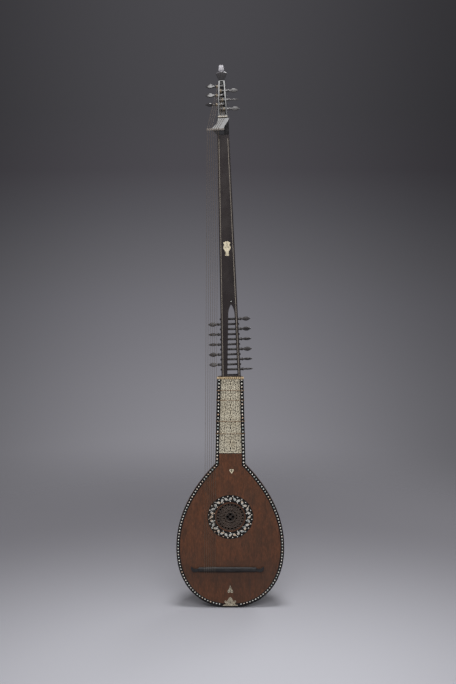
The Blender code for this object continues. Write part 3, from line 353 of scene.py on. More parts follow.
bridgeWood = woodFinish("bridgeWood", {
    "pale": (31, 30, 31), "dark": (21, 20, 21), "worn": (50, 48, 50), "wear": 0.5, "lines": (12, 900, 900),
    "figure": 0.35, "patchScale": 35.0, "rough": (0.34, 0.5), "relief": 0.15, "shine": 0.32})
roseWood = woodFinish("carvedRose", {
    "pale": (40, 33, 29), "dark": (26, 21, 19), "worn": (50, 42, 37), "wear": 0.5, "lines": (700, 700, 20),
    "figure": 0.4, "patchScale": 60.0, "rough": (0.5, 0.65), "relief": 0.25})
roseEdge = woodFinish("roseHighCarving", {
    "pale": (82, 69, 61), "dark": (56, 47, 41), "worn": (95, 81, 72), "wear": 0.5, "lines": (700, 700, 20),
    "figure": 0.4, "patchScale": 90.0, "rough": (0.45, 0.6), "relief": 0.2})
# painted shade round the rose's middle holes and one hole to the left, stronger on the rose's ground than on its
# raised carving
for finish, strength in ((roseWood, 0.85), (roseEdge, 0.4)):
    shadeSpots(finish, {"tint": (22, 18, 17), "strength": strength,
                       "spots": ((0.0, 0.3214, 0.0100, 0.0160), (-0.0370, 0.3110, 0.0030, 0.0110))})
ribWood = woodFinish("ribWood", {
    "pale": (106, 65, 46), "dark": (60, 37, 29), "worn": (116, 80, 58), "wear": 0.3, "lines": (420, 420, 9),
    "figure": 0.6, "patchScale": 10.0, "rough": (0.26, 0.42), "relief": 0.1, "shine": 0.5})
ribWoodRed = woodFinish("ribWoodRed", {
    "pale": (96, 57, 41), "dark": (54, 33, 26), "worn": (106, 70, 51), "wear": 0.3, "lines": (380, 380, 8),
    "figure": 0.6, "patchScale": 9.0, "rough": (0.26, 0.42), "relief": 0.1, "shine": 0.5})
innerWood = woodFinish("innerWood", {
    "pale": (190, 160, 120), "dark": (160, 128, 90), "worn": (150, 120, 86), "wear": 0.5, "lines": (600, 600, 9),
    "figure": 0.4, "patchScale": 20.0, "rough": (0.6, 0.75), "relief": 0.2})
ironLook = woodFinish("forgedIron", {
    "pale": (84, 82, 80), "dark": (58, 56, 55), "worn": (96, 74, 60), "wear": 0.5, "lines": (300, 300, 300),
    "figure": 0.5, "patchScale": 150.0, "rough": (0.5, 0.7), "relief": 0.3, "shine": 0.5})
engraved = woodFinish("engravedLines", {
    "pale": (60, 52, 44), "dark": (38, 33, 29), "worn": (84, 73, 60), "lines": (300, 300, 300), "figure": 0.5,
    "patchScale": 90.0, "rough": (0.6, 0.75), "relief": 0.1})
ivoryBoard = ivoryFinish("ivoryBoard", {
    "pale": (204, 197, 177), "dark": (184, 175, 153), "aged": (176, 164, 139), "lines": (420, 420, 5),
    "patchScale": 22.0, "etched": {"scale": 230.0, "width": 0.045, "depth": 0.85, "tint": (78, 69, 58)}})
ivoryTrim = ivoryFinish("ivoryTrim", {
    "pale": (212, 204, 182), "dark": (190, 179, 154), "aged": (180, 164, 134), "lines": (700, 700, 60),
    "patchScale": 60.0})
dirtyIvory = ivoryFinish("dirtyIvory", {
    "pale": (186, 177, 158), "dark": (158, 148, 128), "aged": (140, 128, 106), "lines": (700, 700, 60),
    "patchScale": 110.0, "etched": {"scale": 360.0, "width": 0.06, "depth": 0.85, "tint": (62, 54, 46)}})
ivoryLine = ivoryFinish("ivoryLine", {
    "pale": (142, 134, 124), "dark": (120, 112, 102), "aged": (102, 94, 86), "lines": (900, 900, 30),
    "patchScale": 40.0})
oldBone = ivoryFinish("oldBone", {
    "pale": (182, 163, 130), "dark": (154, 133, 102), "aged": (130, 107, 80), "lines": (500, 900, 900),
    "patchScale": 90.0})
darkHorn = ivoryFinish("darkHorn", {
    "pale": (116, 110, 105), "dark": (88, 83, 80), "aged": (80, 74, 70), "lines": (200, 900, 900),
    "patchScale": 90.0})
paleHorn = ivoryFinish("paleHorn", {
    "pale": (172, 166, 155), "dark": (146, 140, 129), "aged": (132, 125, 115), "lines": (200, 900, 900),
    "patchScale": 90.0})
stringGut = ivoryFinish("stringGut", {
    "pale": (98, 86, 74), "dark": (71, 61, 52), "aged": (84, 72, 60), "lines": (900, 900, 1600),
    "patchScale": 120.0})
windingGut = ivoryFinish("windingGut", {
    "pale": (132, 119, 99), "dark": (102, 91, 74), "aged": (112, 100, 83), "lines": (1600, 900, 900),
    "patchScale": 120.0})
fretGut = ivoryFinish("fretGut", {
    "pale": (120, 91, 61), "dark": (82, 61, 41), "aged": (98, 73, 49), "lines": (1600, 900, 900),
    "patchScale": 120.0})
shell = pearlFinish("shell", {
    "scale": 75.0,
    "tints": ((146, 158, 156), (230, 232, 226), (172, 168, 160), (236, 231, 222), (198, 168, 140))})
ringShell = pearlFinish("ringShell", {
    "scale": 52.0,
    "tints": ((128, 132, 130), (182, 180, 174), (144, 140, 134), (190, 183, 171), (168, 142, 117))})
print("finishes made")


# mesh helpers

def linkObject(name, data):
    made = bpy.data.objects.new(name, data)
    scene.collection.objects.link(made)
    return made


def dropObjects(*objects):
    for one in objects:
        bpy.data.objects.remove(one, do_unlink=True)


def setFinish(mesh, material):
    mesh.materials.clear()
    mesh.materials.append(material)


def meshObject(name, mesh, material):
    setFinish(mesh, material)
    return linkObject(name, mesh)


def keepPiece(piece, replaced=(), body=mainBody):
    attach(piece, body)
    if replaced:
        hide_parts(*replaced)
    return piece


# values between the rows of a table, on a smooth line through them
def smoothRow(table, at):
    spot = max(i for i in range(len(table) - 1) if at >= table[i][0] or i == 0)
    before, low = table[max(spot - 1, 0)], table[spot]
    high, after = table[spot + 1], table[min(spot + 2, len(table) - 1)]
    step = high[0] - low[0]
    t = (at - low[0]) / step
    values = []
    for k in range(1, len(low)):
        rise = (high[k] - before[k]) / max(high[0] - before[0], step) * step
        fall = (after[k] - low[k]) / max(after[0] - low[0], step) * step
        values.append(low[k] * (1 + 2 * t) * (1 - t) ** 2 + rise * t * (1 - t) ** 2 + high[k] * t * t * (3 - 2 * t)
                      + fall * t * t * (t - 1))
    return values


def aroundTurns(steps):
    return [2 * math.pi * i / steps for i in range(steps)]


def storeMesh(work, name):
    mesh = bpy.data.meshes.new(name)
    work.to_mesh(mesh)
    work.free()
    return mesh


# a skin over rings of points, with plain ends
def ringMesh(name, rings, closedEnds=True):
    work = bmesh.new()
    loops = [[work.verts.new(point) for point in ring] for ring in rings]
    for lower, upper in zip(loops, loops[1:]):
        count = len(lower)
        for i in range(count):
            work.faces.new((lower[i], lower[(i + 1) % count], upper[(i + 1) % count], upper[i]))
    if closedEnds:
        work.faces.new(loops[0][::-1])
        work.faces.new(loops[-1])
    bmesh.ops.recalc_face_normals(work, faces=work.faces)
    return storeMesh(work, name)


# a smooth piece over rings, with a crease where its faces meet at more than some angle
def skinPiece(name, rings, material, place=Matrix(), crease=50):
    mesh = ringMesh(name, rings)
    mesh.transform(place)
    mesh.shade_smooth()
    mesh.set_sharp_from_angle(angle=math.radians(crease))
    return meshObject(name, mesh, material)


def turnOutward(mesh, mergeWithin=0.0):
    work = bmesh.new()
    work.from_mesh(mesh)
    if mergeWithin:
        bmesh.ops.remove_doubles(work, verts=work.verts, dist=mergeWithin)
    bmesh.ops.recalc_face_normals(work, faces=work.faces)
    work.to_mesh(mesh)
    work.free()


# turns an object with modifiers into a plain mesh object of the same name
def bakePiece(source, name, material=None):
    bpy.context.view_layer.update()
    graph = bpy.context.evaluated_depsgraph_get()
    mesh = bpy.data.meshes.new_from_object(source.evaluated_get(graph))
    mesh.name = name
    dropObjects(source)
    if material:
        setFinish(mesh, material)
    return linkObject(name, mesh)


# a curve through lines of points, round in section where it has a radius
def pathCurve(name, lines, radius=0.0, sides=4, closed=False):
    curve = bpy.data.curves.new(name, "CURVE")
    curve.dimensions = "3D"
    if radius:
        curve.bevel_depth = radius
        curve.bevel_resolution = (sides - 4) // 2
        curve.use_fill_caps = True
    for line in lines:
        spline = curve.splines.new("POLY")
        spline.points.add(len(line) - 1)
        for target, point in zip(spline.points, line):
            target.co = (*point, 1)
        spline.use_cyclic_u = closed
    return linkObject(name, curve)


def tubePiece(name, points, radius, material, sides=10, closed=False):
    made = bakePiece(pathCurve(name + "Path", [points], radius, sides, closed), name, material)
    made.data.shade_smooth()
    return made


# line work: flattened round strips lying on a front face
def linesPiece(name, lines, radius, flat, front, material, closed=False, sides=4):
    lines = [[(x, 0, z) for x, z in line] for line in lines]
    made = bakePiece(pathCurve(name + "Path", lines, radius, sides, closed), name, material)
    made.data.transform(Matrix.Translation((0, front, 0)) @ Matrix.Diagonal((1, flat, 1, 1)))
    made.data.shade_smooth()
    return made


def joined(name, pieces):
    work = bmesh.new()
    for piece in pieces:
        work.from_mesh(piece.data)
    material = pieces[0].data.materials[0]
    dropObjects(*pieces)
    return meshObject(name, storeMesh(work, name), material)


# a copy of a CAD node with softened edges, which stands for the node; some edges may be rounded more
def softened(node, width, material, rounder=0.0, chosen=None):
    work = bmesh.new()
    work.from_mesh(nodes[node].data)
    bmesh.ops.remove_doubles(work, verts=work.verts, dist=0.000002)
    bmesh.ops.dissolve_limit(work, angle_limit=math.radians(1.5), verts=work.verts, edges=work.edges)
    if chosen:
        weight = work.edges.layers.float.new("bevel_weight_edge")
        for edge in work.edges:
            edge[weight] = 1.0 if chosen(*(vert.co for vert in edge.verts)) else 0.0
    mesh = storeMesh(work, node + "Soft")
    mesh.shade_smooth()
    source = meshObject(node + "Source", mesh, material)
    if chosen:
        rail = source.modifiers.new("roundRail", "BEVEL")
        rail.width = rounder
        rail.segments = 5
        rail.limit_method = "WEIGHT"
        rail.use_clamp_overlap = False
    bevel = source.modifiers.new("softEdge", "BEVEL")
    bevel.width = width
    bevel.segments = 2
    bevel.limit_method = "ANGLE"
    bevel.angle_limit = math.radians(32)
    bevel.use_clamp_overlap = True
    flatter = source.modifiers.new("flatFaces", "WEIGHTED_NORMAL")
    flatter.weight = 90
    made = bakePiece(source, node + "_soft", material)
    return keepPiece(made, [node])


# geometry node helpers

def geoTree(name, inputs):
    inputs = [("Geometry", "Geometry", None), *inputs, ("Finish", "Material", None)]
    return newTree(name, "GeometryNodeTree", inputs, [("Geometry", "Geometry")])


# the end of each tree: real faces with their finish
def closeTree(tree, start, end, geometry):
    real = addNode(tree, "GeometryNodeRealizeInstances", {0: geometry})
    finish = addNode(tree, "GeometryNodeSetMaterial", {"Geometry": real.outputs[0], "Material": start["Finish"]})
    tree.links.new(finish.outputs[0], end[0])
    return tree


# 0 for the even points of a tree and 1 for the odd ones
def addParity(tree, index):
    return addMath(tree, "MODULO", index, 2)


def runTree(source, tree, name, values):
    change = source.modifiers.new(tree.name, "NODES")
    change.node_group = tree
    for item in tree.interface.items_tree:
        if item.item_type == "SOCKET" and item.in_out == "INPUT" and item.name in values:
            change[item.identifier] = values[item.name]
    return bakePiece(source, name)


# line shapes in X and Z

def ringLine(radius, steps, centre, waves=0, swing=0.0, phase=0.0):
    line = []
    for turn in aroundTurns(steps):
        reach = radius + swing * math.cos(waves * turn + phase)
        line.append((centre[0] + reach * math.cos(turn), centre[1] + reach * math.sin(turn)))
    return line


# the angle, and the turns done so far, at each step of a coil
def coilSteps(turns, steps):
    return [(2 * math.pi * i / steps, i / steps) for i in range(int(turns * steps) + 1)]


# a curl that winds from its outer radius to its inner one
def curl(x, z, outer, inner, start, turns):
    steps, tighten = 22, 0.8
    line = []
    for i in range(steps + 1):
        share = i / steps
        angle = math.radians(start) + 2 * math.pi * turns * share
        reach = outer + (inner - outer) * share ** tighten
        line.append((x + reach * math.cos(angle), z + reach * math.sin(angle)))
    return line


# the bowl and the body's outline

bodyForm = {"length": 0.5045, "width": 0.3648, "widest": 0.2104, "lowerPower": 2.2, "upperPower": 2.08,
            "depth": 0.160, "base": 0.0018, "rim": 0.0028, "neckWidth": 0.1012, "ribs": 7, "wall": 0.002,
            "foot": 0.003, "lowerSteps": 26, "upperSteps": 24, "acrossSteps": 10, "joint": 0.00035,
            "jointWidth": 0.0012, "jointShare": 6, "line": 0.0005, "lineInset": 0.0002}
neckForm = {"length": 0.292, "nutWidth": 0.0870, "nutDepth": 0.030, "aroundSteps": 36, "alongSteps": 16,
            "gap": 0.0003, "nut": 0.006}
shoulderZ = bodyForm["base"] + bodyForm["length"]
nutZ = shoulderZ + neckForm["length"]


def halfWidth(height):
    half = bodyForm["width"] / 2
    if height < bodyForm["widest"]:
        power = bodyForm["lowerPower"]
        return half * (1 - (1 - max(height, 0) / bodyForm["widest"]) ** power) ** (1 / power)
    power = bodyForm["upperPower"]
    shoulder = (1 - bodyForm["neckWidth"] / bodyForm["width"]) ** (1 / power)
    rise = (height - bodyForm["widest"]) / (bodyForm["length"] - bodyForm["widest"])
    return half * (1 - (shoulder * rise) ** power)


def bowlDepth(height):
    return halfWidth(height) * bodyForm["depth"] / (bodyForm["width"] / 2)


def bowlPoint(height, angle, inset):
    step = 0.0001
    rim = bodyForm["rim"]

    def outer(level, turn):
        deep = bowlDepth(level) - rim
        return Vector((halfWidth(level) * math.cos(turn), faceY + rim + deep * math.sin(turn),
                       bodyForm["base"] + level))

    around = outer(height, angle + step) - outer(height, angle - step)
    along = outer(height + step, angle) - outer(height - step, angle)
    return outer(height, angle) - around.cross(along).normalized() * inset


def bodyHeights():
    power = bodyForm["lowerPower"]
    widest = bodyForm["widest"]
    footTurn = math.asin((1 - bodyForm["foot"] / widest) ** (power / 2))
    steps = bodyForm["lowerSteps"]
    heights = [widest * (1 - math.sin(footTurn * (1 - i / steps)) ** (2 / power)) for i in range(steps)]
    steps = bodyForm["upperSteps"]
    return heights + [widest + (bodyForm["length"] - widest) * i / steps for i in range(steps + 1)]


def makeRibs():
    count = bodyForm["ribs"]
    for number in range(count):
        rings = []
        for height in bodyHeights():
            reach = (halfWidth(height) + bowlDepth(height)) / 2
            low, high = math.pi * number / count, math.pi * (number + 1) / count
            edge = min(bodyForm["jointWidth"] / reach, (high - low) / bodyForm["jointShare"])
            turns = [low, low + edge] + [low + edge + (high - low - 2 * edge) * i / bodyForm["acrossSteps"]
                                         for i in range(1, bodyForm["acrossSteps"])] + [high - edge, high]
            outside = []
            for i, turn in enumerate(turns):
                atJoint = (i == 0 and number) or (i == len(turns) - 1 and number < count - 1)
                outside.append(bowlPoint(height, turn, bodyForm["joint"] if atJoint else 0))
            inside = [bowlPoint(height, turn, bodyForm["wall"]) for turn in reversed(turns)]
            rings.append(outside + inside)
        name = f"rib_{number + 1}"
        plank = ribWoodRed if number % 2 else ribWood
        keepPiece(skinPiece(name + "_smooth", rings, plank), [name])
    lines = []
    for number in range(1, count):
        path = [bowlPoint(height, math.pi * number / count, bodyForm["lineInset"]) for height in bodyHeights()]
        lines.append(tubePiece("ribLine", path, bodyForm["line"], ivoryLine, sides=8))
    keepPiece(joined("rib_lines", lines))


def neckHalf(height):
    share = (height - shoulderZ) / neckForm["length"]
    return (bodyForm["neckWidth"] + (neckForm["nutWidth"] - bodyForm["neckWidth"]) * share) / 2


def neckRing(height, outward=0.0):
    share = (height - shoulderZ) / neckForm["length"]
    wide = neckHalf(height) + outward
    low = bowlDepth(bodyForm["length"])
    deep = low + (neckForm["nutDepth"] - low) * share - bodyForm["rim"] + outward
    turns = [math.pi * i / neckForm["aroundSteps"] for i in range(neckForm["aroundSteps"] + 1)]
    return [(wide * math.cos(turn), faceY + bodyForm["rim"] + deep * math.sin(turn), height) for turn in turns]


def makeNeck():
    low = shoulderZ + neckForm["gap"]
    top = nutZ + neckForm["gap"] + neckForm["nut"]
    steps = neckForm["alongSteps"]
    rings = [neckRing(low + (top - low) * i / steps) for i in range(steps + 1)]
    keepPiece(skinPiece("neck_smooth", rings, stainedNeck), ["neck"])


makeRibs()
makeNeck()
print("bowl and neck made")


# the long neck, its head and everything cut from straight stock

extensionForm = {"shift": 0.0027, "foot": nutZ + 0.0066, "lean": math.radians(1.85), "length": 0.7985,
                 "lowWidth": 0.0638, "topWidth": 0.0388, "front": 0.0015}
extensionPlace = (Matrix.Translation((extensionForm["shift"], faceY, extensionForm["foot"]))
                  @ Matrix.Rotation(-extensionForm["lean"], 4, "Y"))


def extensionHalf(height):
    low, top = extensionForm["lowWidth"], extensionForm["topWidth"]
    return (low + (top - low) * height / extensionForm["length"]) / 2


softPieces = {"extension": (0.0006, stainedNeck, "stained_hardwood"), "bridge": (0.0010, bridgeWood, "ebony"),
              "nut": (0.0003, oldBone, "ivory"), "bass_nut": (0.0004, darkHorn, "ivory"),
              "head_nut": (0.0006, paleHorn, "ivory"), "end_ornament": (0.0003, dirtyIvory, "ivory"),
              "end_clasp": (0.0003, polishedEbony, "ebony")}
for node, (width, material, slotName) in softPieces.items():
    softened(node, width, material)

headForm = {"start": 0.7988, "boxLow": 0.0560, "front": 0.0010, "tilt": 0.147, "edge": 0.0006, "rail": 0.0012,
            "shortest": 0.02, "reach": 0.0003, "lowReach": 0.001, "endGrain": 0.1625, "polish": 0.062,
            "dullLow": 0.078, "dullHigh": 0.128, "dull": 0.3}


def headFront(height):
    return headForm["front"] + headForm["tilt"] * (height - headForm["boxLow"])


# the long front edges of the head's two cheeks
def railEdge(first, second):
    ends = [extensionPlace.inverted() @ point for point in (first, second)]
    lowest = headForm["start"] + headForm["boxLow"] - headForm["lowReach"]
    if abs(ends[0].z - ends[1].z) < headForm["shortest"] or min(end.z for end in ends) < lowest:
        return False
    return all(abs(end.y - headFront(end.z - headForm["start"])) < headForm["reach"] for end in ends)


head = softened("head", headForm["edge"], polishedEbony, rounder=headForm["rail"], chosen=railEdge)
head.data.materials.append(dullEbony)   # the end grain above the slot isn't polished
head.data.materials.append(railEbony)   # the cheeks are polished brighter, more so towards the top
for face in head.data.polygons:
    height = (extensionPlace.inverted() @ face.center).z - headForm["start"]
    face.material_index = 1 if height > headForm["endGrain"] else 2 if height > headForm["polish"] else 0
dullEnds = [(extensionPlace @ Vector((0, 0, headForm["start"] + headForm[key]))).z for key in ("dullLow", "dullHigh")]
dullBelow(railEbony, *dullEnds, headForm["dull"])

keptNodes = {"soundboard": spruceFace, "edge_band_bass": blackBand, "edge_band_treble": blackBand,
             "rosette_ring": blackBand, "rose": roseWood, "fingerboard": ivoryBoard, "heart_inlay": ivoryTrim,
             "spade_inlay": dirtyIvory, "vase_plaque": ivoryTrim, "ivory_line_bass": ivoryLine,
             "ivory_line_treble": ivoryLine, "neck_nail": ironLook, "neck_block": innerWood,
             "soundboard_bar_1": innerWood, "soundboard_bar_2": innerWood, "soundboard_bar_3": innerWood}
for node, material in keptNodes.items():
    setFinish(nodes[node].data, material)
print("straight pieces softened")


# pegs; the shapes give a distance and a share of the radius, and for the leaf a share of its
# length, width and thickness

pegForm = {"tipOut": 0.003, "bare": 0.007, "collar": 0.0035, "waist": 0.0018, "leaf": 0.0287, "tipRadius": 0.0034,
           "radius": 0.0040, "collarRadius": 0.0055, "waistRadius": 0.0029, "leafHalf": 0.0072, "leafThick": 0.0030,
           "sides": 28, "leafSteps": 20, "flatten": 0.58, "mouth": 0.99, "crease": 60,
           "tipShape": ((0.0, 0.55), (0.0004, 0.85), (0.001, 1.0)),
           "shaftShape": ((-0.0012, 1.0), (-0.0004, 1.04), (0.0, 1.12)),
           "collarShape": ((0.0006, 0.92), (0.0012, 1.0), (0.0022, 1.0), (0.0028, 0.9)),
           "waistShape": ((0.0, 1.12), (0.001, 1.0)),
           "leafShape": ((0.0, 0.40, 0.93), (0.12, 0.56, 0.92), (0.28, 0.85, 0.97), (0.48, 1.0, 1.0),
                         (0.66, 0.86, 0.92), (0.82, 0.53, 0.74), (0.93, 0.25, 0.52), (1.0, 0.06, 0.16))}
lowerPegs = {"first": 0.0223, "pitch": 0.01697, "turns": (70, 25, 53, 10, -5, 78, 48, 76, 21, 15, -5)}
upperPegs = {"first": 0.0816, "pitch": 0.01436, "turns": (-3, -40, 88, 15, -3, 15), "lowWidth": 0.0310,
             "topWidth": 0.0210, "low": 0.0560, "top": 0.1720}


def upperHalf(height):
    share = (height - upperPegs["low"]) / (upperPegs["top"] - upperPegs["low"])
    return (upperPegs["lowWidth"] + (upperPegs["topWidth"] - upperPegs["lowWidth"]) * share) / 2


def pegStations(half):
    f = pegForm
    tip = -half - f["tipOut"]
    collar = half + f["bare"]
    waist = collar + f["collar"]
    leaf = waist + f["waist"]
    rows = [(tip + x, f["tipRadius"] * share) for x, share in f["tipShape"]] + [(half, f["radius"] * f["mouth"])]
    for start, radius, shape in ((collar, "radius", "shaftShape"), (collar, "collarRadius", "collarShape"),
                                 (waist, "waistRadius", "waistShape")):
        rows += [(start + x, f[radius] * share) for x, share in f[shape]]
    rows = [(x, r, r) for x, r in rows]
    # an almond that starts at the waist and ends in a small point
    for i in range(f["leafSteps"] + 1):
        share = i / f["leafSteps"]
        wide, thick = smoothRow(f["leafShape"], share)
        rows.append((leaf + f["leaf"] * share, f["leafThick"] * thick, f["leafHalf"] * wide))
    return rows


def makePeg(node, half, turn, trebleSide, finish):
    joint = next(j for j in frame["joints"] if j["child"] == node)
    place = (Matrix.Translation(joint["pos_m"]) @ Matrix.Rotation(-extensionForm["lean"], 4, "Y")
             @ Matrix.Rotation(0 if trebleSide else math.pi, 4, "Z") @ Matrix.Rotation(math.radians(turn), 4, "X"))
    turns = aroundTurns(pegForm["sides"])
    rings = []
    for x, thick, wide in pegStations(half):
        # a leaf's faces are flatter than an ellipse, the round parts stay round
        bulge = 1 - pegForm["flatten"] * min(max(wide / thick - 1, 0), 1)
        rings.append([(x, thick * math.copysign(abs(math.cos(a)) ** bulge, math.cos(a)), wide * math.sin(a))
                      for a in turns])
    keepPiece(skinPiece(node + "_smooth", rings, finish, place, pegForm["crease"]), [node], node)


for number, turn in enumerate(lowerPegs["turns"]):
    half = extensionHalf(lowerPegs["first"] + number * lowerPegs["pitch"])
    makePeg(f"lower_peg_{number + 1}", half, turn, number % 2 == 0, wornPeg)
for number, turn in enumerate(upperPegs["turns"]):
    half = upperHalf(upperPegs["first"] + number * upperPegs["pitch"])
    makePeg(f"upper_peg_{number + 1}", half, turn, number % 2 == 0, pegEbony if number % 2 else dullPeg)
print("pegs made")


# the finial: a ribbed cup whose side leaves turn down, and a split bud; the cup's rows give height and
# radius at its sides and at its front, the bud's rows height, radius and squareness

finialForm = {"steps": 120, "start": headForm["start"] + 0.1723, "lobes": 12, "lobeDepth": 0.16, "lobeRise": 0.7,
              "lobeSharp": 1.6, "sideLeaf": 1.7, "lip": 8,
              "side": ((0.0, 0.0090), (0.0014, 0.0096), (0.0034, 0.0105), (0.0070, 0.0123), (0.0110, 0.0142),
                       (0.0150, 0.0158), (0.0185, 0.0171), (0.0205, 0.0179), (0.0214, 0.0180), (0.0222, 0.0174),
                       (0.0241, 0.0152), (0.0263, 0.0126), (0.0281, 0.0104), (0.0294, 0.0092), (0.0298, 0.0060)),
              "front": ((0.0, 0.0090), (0.0014, 0.0096), (0.0034, 0.0104), (0.0080, 0.0117), (0.0130, 0.0130),
                        (0.0180, 0.0141), (0.0225, 0.0149), (0.0258, 0.0153), (0.0270, 0.0152), (0.0276, 0.0146),
                        (0.0281, 0.0134), (0.0286, 0.0118), (0.0290, 0.0104), (0.0294, 0.0092), (0.0298, 0.0060)),
              "bud": ((0.0276, 0.0070, 3), (0.0288, 0.0087, 3.6), (0.0304, 0.0094, 4.5), (0.0325, 0.0096, 5),
                      (0.0355, 0.0093, 5), (0.0390, 0.0087, 5), (0.0422, 0.0080, 4.6), (0.0450, 0.0070, 4),
                      (0.0472, 0.0058, 3.4), (0.0485, 0.0045, 2.8), (0.0493, 0.0030, 2.3), (0.0496, 0.0012, 2)),
              "split": 0.0008, "splitPlace": 0.0031, "splitWidth": 0.0009, "notch": 0.0052, "notchWidth": 0.0015,
              "notchLow": 0.0370, "tip": 0.0496}


def makeFinial():
    f = finialForm
    low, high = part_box("finial")
    axis = extensionPlace.inverted() @ ((low + high) / 2)
    turns = aroundTurns(f["steps"])
    cup = []
    for row, (atSide, atFront) in enumerate(zip(f["side"], f["front"])):
        # the ribs of the cup deepen up to the lip
        rib = f["lobeDepth"] * (row / f["lip"]) ** f["lobeRise"] if row <= f["lip"] else 0.0
        ring = []
        for turn in turns:
            share = abs(math.cos(turn)) ** f["sideLeaf"]
            height = atFront[0] + (atSide[0] - atFront[0]) * share
            reach = atFront[1] + (atSide[1] - atFront[1]) * share
            reach *= 1 - rib * (1 - abs(math.cos(f["lobes"] / 2 * turn))) ** f["lobeSharp"]
            ring.append(Vector((reach * math.cos(turn), axis.y + reach * math.sin(turn), f["start"] + height)))
        cup.append(ring)
    bud = []
    for height, radius, square in f["bud"]:
        rise = min(max((height - f["notchLow"]) / (f["tip"] - f["notchLow"]), 0), 1)
        ring = []
        for turn in turns:
            reach = radius / (abs(math.cos(turn)) ** square + abs(math.sin(turn)) ** square) ** (1 / square)
            x, y = reach * math.cos(turn), reach * math.sin(turn)
            for place in (-f["splitPlace"], f["splitPlace"]):
                depth = math.exp(-((x - place) / f["splitWidth"]) ** 2)
                y -= math.copysign(f["split"], y) * depth * min(abs(y) / radius, 1)
            sink = f["notch"] * rise * math.exp(-(x / f["notchWidth"]) ** 2)
            ring.append(Vector((x, axis.y + y, f["start"] + height - sink)))
        bud.append(ring)
    # the cup takes the painted sheen, the leaves' upper faces and the bud the painted highlight
    pieces = (("finial_cup", cup[:f["lip"] + 2], cupSheenEbony), ("finial_leaves", cup[f["lip"] + 1:], leafHighlightEbony),
              ("finial_bud", bud, budHighlightEbony))
    for name, rings, finish in pieces:
        made = skinPiece(name, rings, finish, extensionPlace)
        keepPiece(made, ["finial"] if name == "finial_cup" else ())


makeFinial()
print("finial carved")


# bass strings with their ties at the bridge and turns on the pegs

stringForm = {"count": 6, "radius": 0.00045, "bridgeFirst": -0.0874, "bridgePitch": 0.0071, "nutFirst": -0.0507,
              "nutPitch": 0.0071, "holeFront": 0.0052, "bridgeZ": 0.1368, "bridgeReach": 0.0130, "nutY": -0.01285,
              "nutLow": 0.8151, "nutThick": 0.006, "headNut": 0.0568, "headNutThick": 0.004, "headNutY": -0.00475,
              "headNutPitch": 0.0062, "windingSteps": 20, "windingTurns": 4, "windingPitch": 0.0012,
              "pegRadius": 0.00475, "pegBack": 0.0085, "outerStart": 0.0018,
              "innerStarts": (-0.0060, -0.0012, 0.0036),
              "tie": ((-0.0050, -0.0112), (-0.0057, -0.0099), (-0.0080, -0.0068), (-0.0103, -0.0036),
                      (-0.0104, 0.0006), (-0.0103, 0.0049), (-0.0090, 0.0074), (-0.0074, 0.0098), (-0.0058, 0.0112),
                      (-0.0052, 0.0120)),
              "knotTurns": 2.5, "knotSteps": 12, "knotRadius": 0.0009, "knotLow": 0.0106, "knotPitch": 0.0008}


def makeStrings():
    f = stringForm
    outerCount = f["count"] // 2   # half of the strings go to the pegs outside the head, half inside it
    for number in range(f["count"]):
        outer = number < outerCount
        place = number if outer else number - outerCount
        height = upperPegs["first"] + upperPegs["pitch"] * (2 * (outerCount - 1 - place) + (1 if outer else 0))
        depth = headFront(height) + f["pegBack"]
        x = f["nutFirst"] + f["nutPitch"] * number
        route = [(x, f["nutY"], f["nutLow"]), (x, f["nutY"], f["nutLow"] + f["nutThick"])]
        if outer:
            start, step = -upperHalf(height) - f["outerStart"], -f["windingPitch"]
        else:
            overX = f["headNutPitch"] * (place - 1)
            low = headForm["start"] + f["headNut"]
            route += [(overX, f["headNutY"], low), (overX, f["headNutY"], low + f["headNutThick"])]
            start, step = f["innerStarts"][place], f["windingPitch"]
        winding = [(start + step * done, depth - f["pegRadius"] * math.cos(turn),
                    headForm["start"] + height + f["pegRadius"] * math.sin(turn))
                   for turn, done in coilSteps(f["windingTurns"], f["windingSteps"])]
        route.append(winding[0])
        bridgeX = f["bridgeFirst"] + f["bridgePitch"] * number
        y = faceY - f["holeFront"]
        points = [Vector((bridgeX, y, f["bridgeZ"] + reach)) for reach in (-f["bridgeReach"], f["bridgeReach"])]
        points += [extensionPlace @ Vector(point) for point in route]
        name = f"bass_string_{number + 1}"
        keepPiece(tubePiece(name + "_gut", points, f["radius"], stringGut), [name])
        points = [extensionPlace @ Vector(point) for point in winding]
        keepPiece(tubePiece(f"bass_winding_{number + 1}", points, f["radius"], windingGut))
        # the end goes back over the bridge and round the string
        loop = [(bridgeX, faceY + out, f["bridgeZ"] + up) for out, up in f["tie"]]
        knot = [(bridgeX + f["knotRadius"] * math.sin(turn), y - f["knotRadius"] * math.cos(turn),
                 f["bridgeZ"] + f["knotLow"] + f["knotPitch"] * done)
                for turn, done in coilSteps(f["knotTurns"], f["knotSteps"])]
        ends = [tubePiece(label, path, f["radius"], stringGut)
                for label, path in (("tieLoop", loop), ("tieKnot", knot))]
        keepPiece(joined(f"bass_tie_{number + 1}", ends))


makeStrings()
print("strings made")


# tied frets: a double strand round the neck, knotted at the bass edge

fretForm = {"distances": (0.0394, 0.0725, 0.1447, 0.1876), "away": 0.00095, "radius": 0.00045, "corner": 0.0005,
            "apart": 0.00048, "knotTurns": 3, "knotSteps": 14, "knotRadius": 0.00085, "knotPitch": 0.0008,
            "knotOut": 0.0007, "knotInset": 0.002}


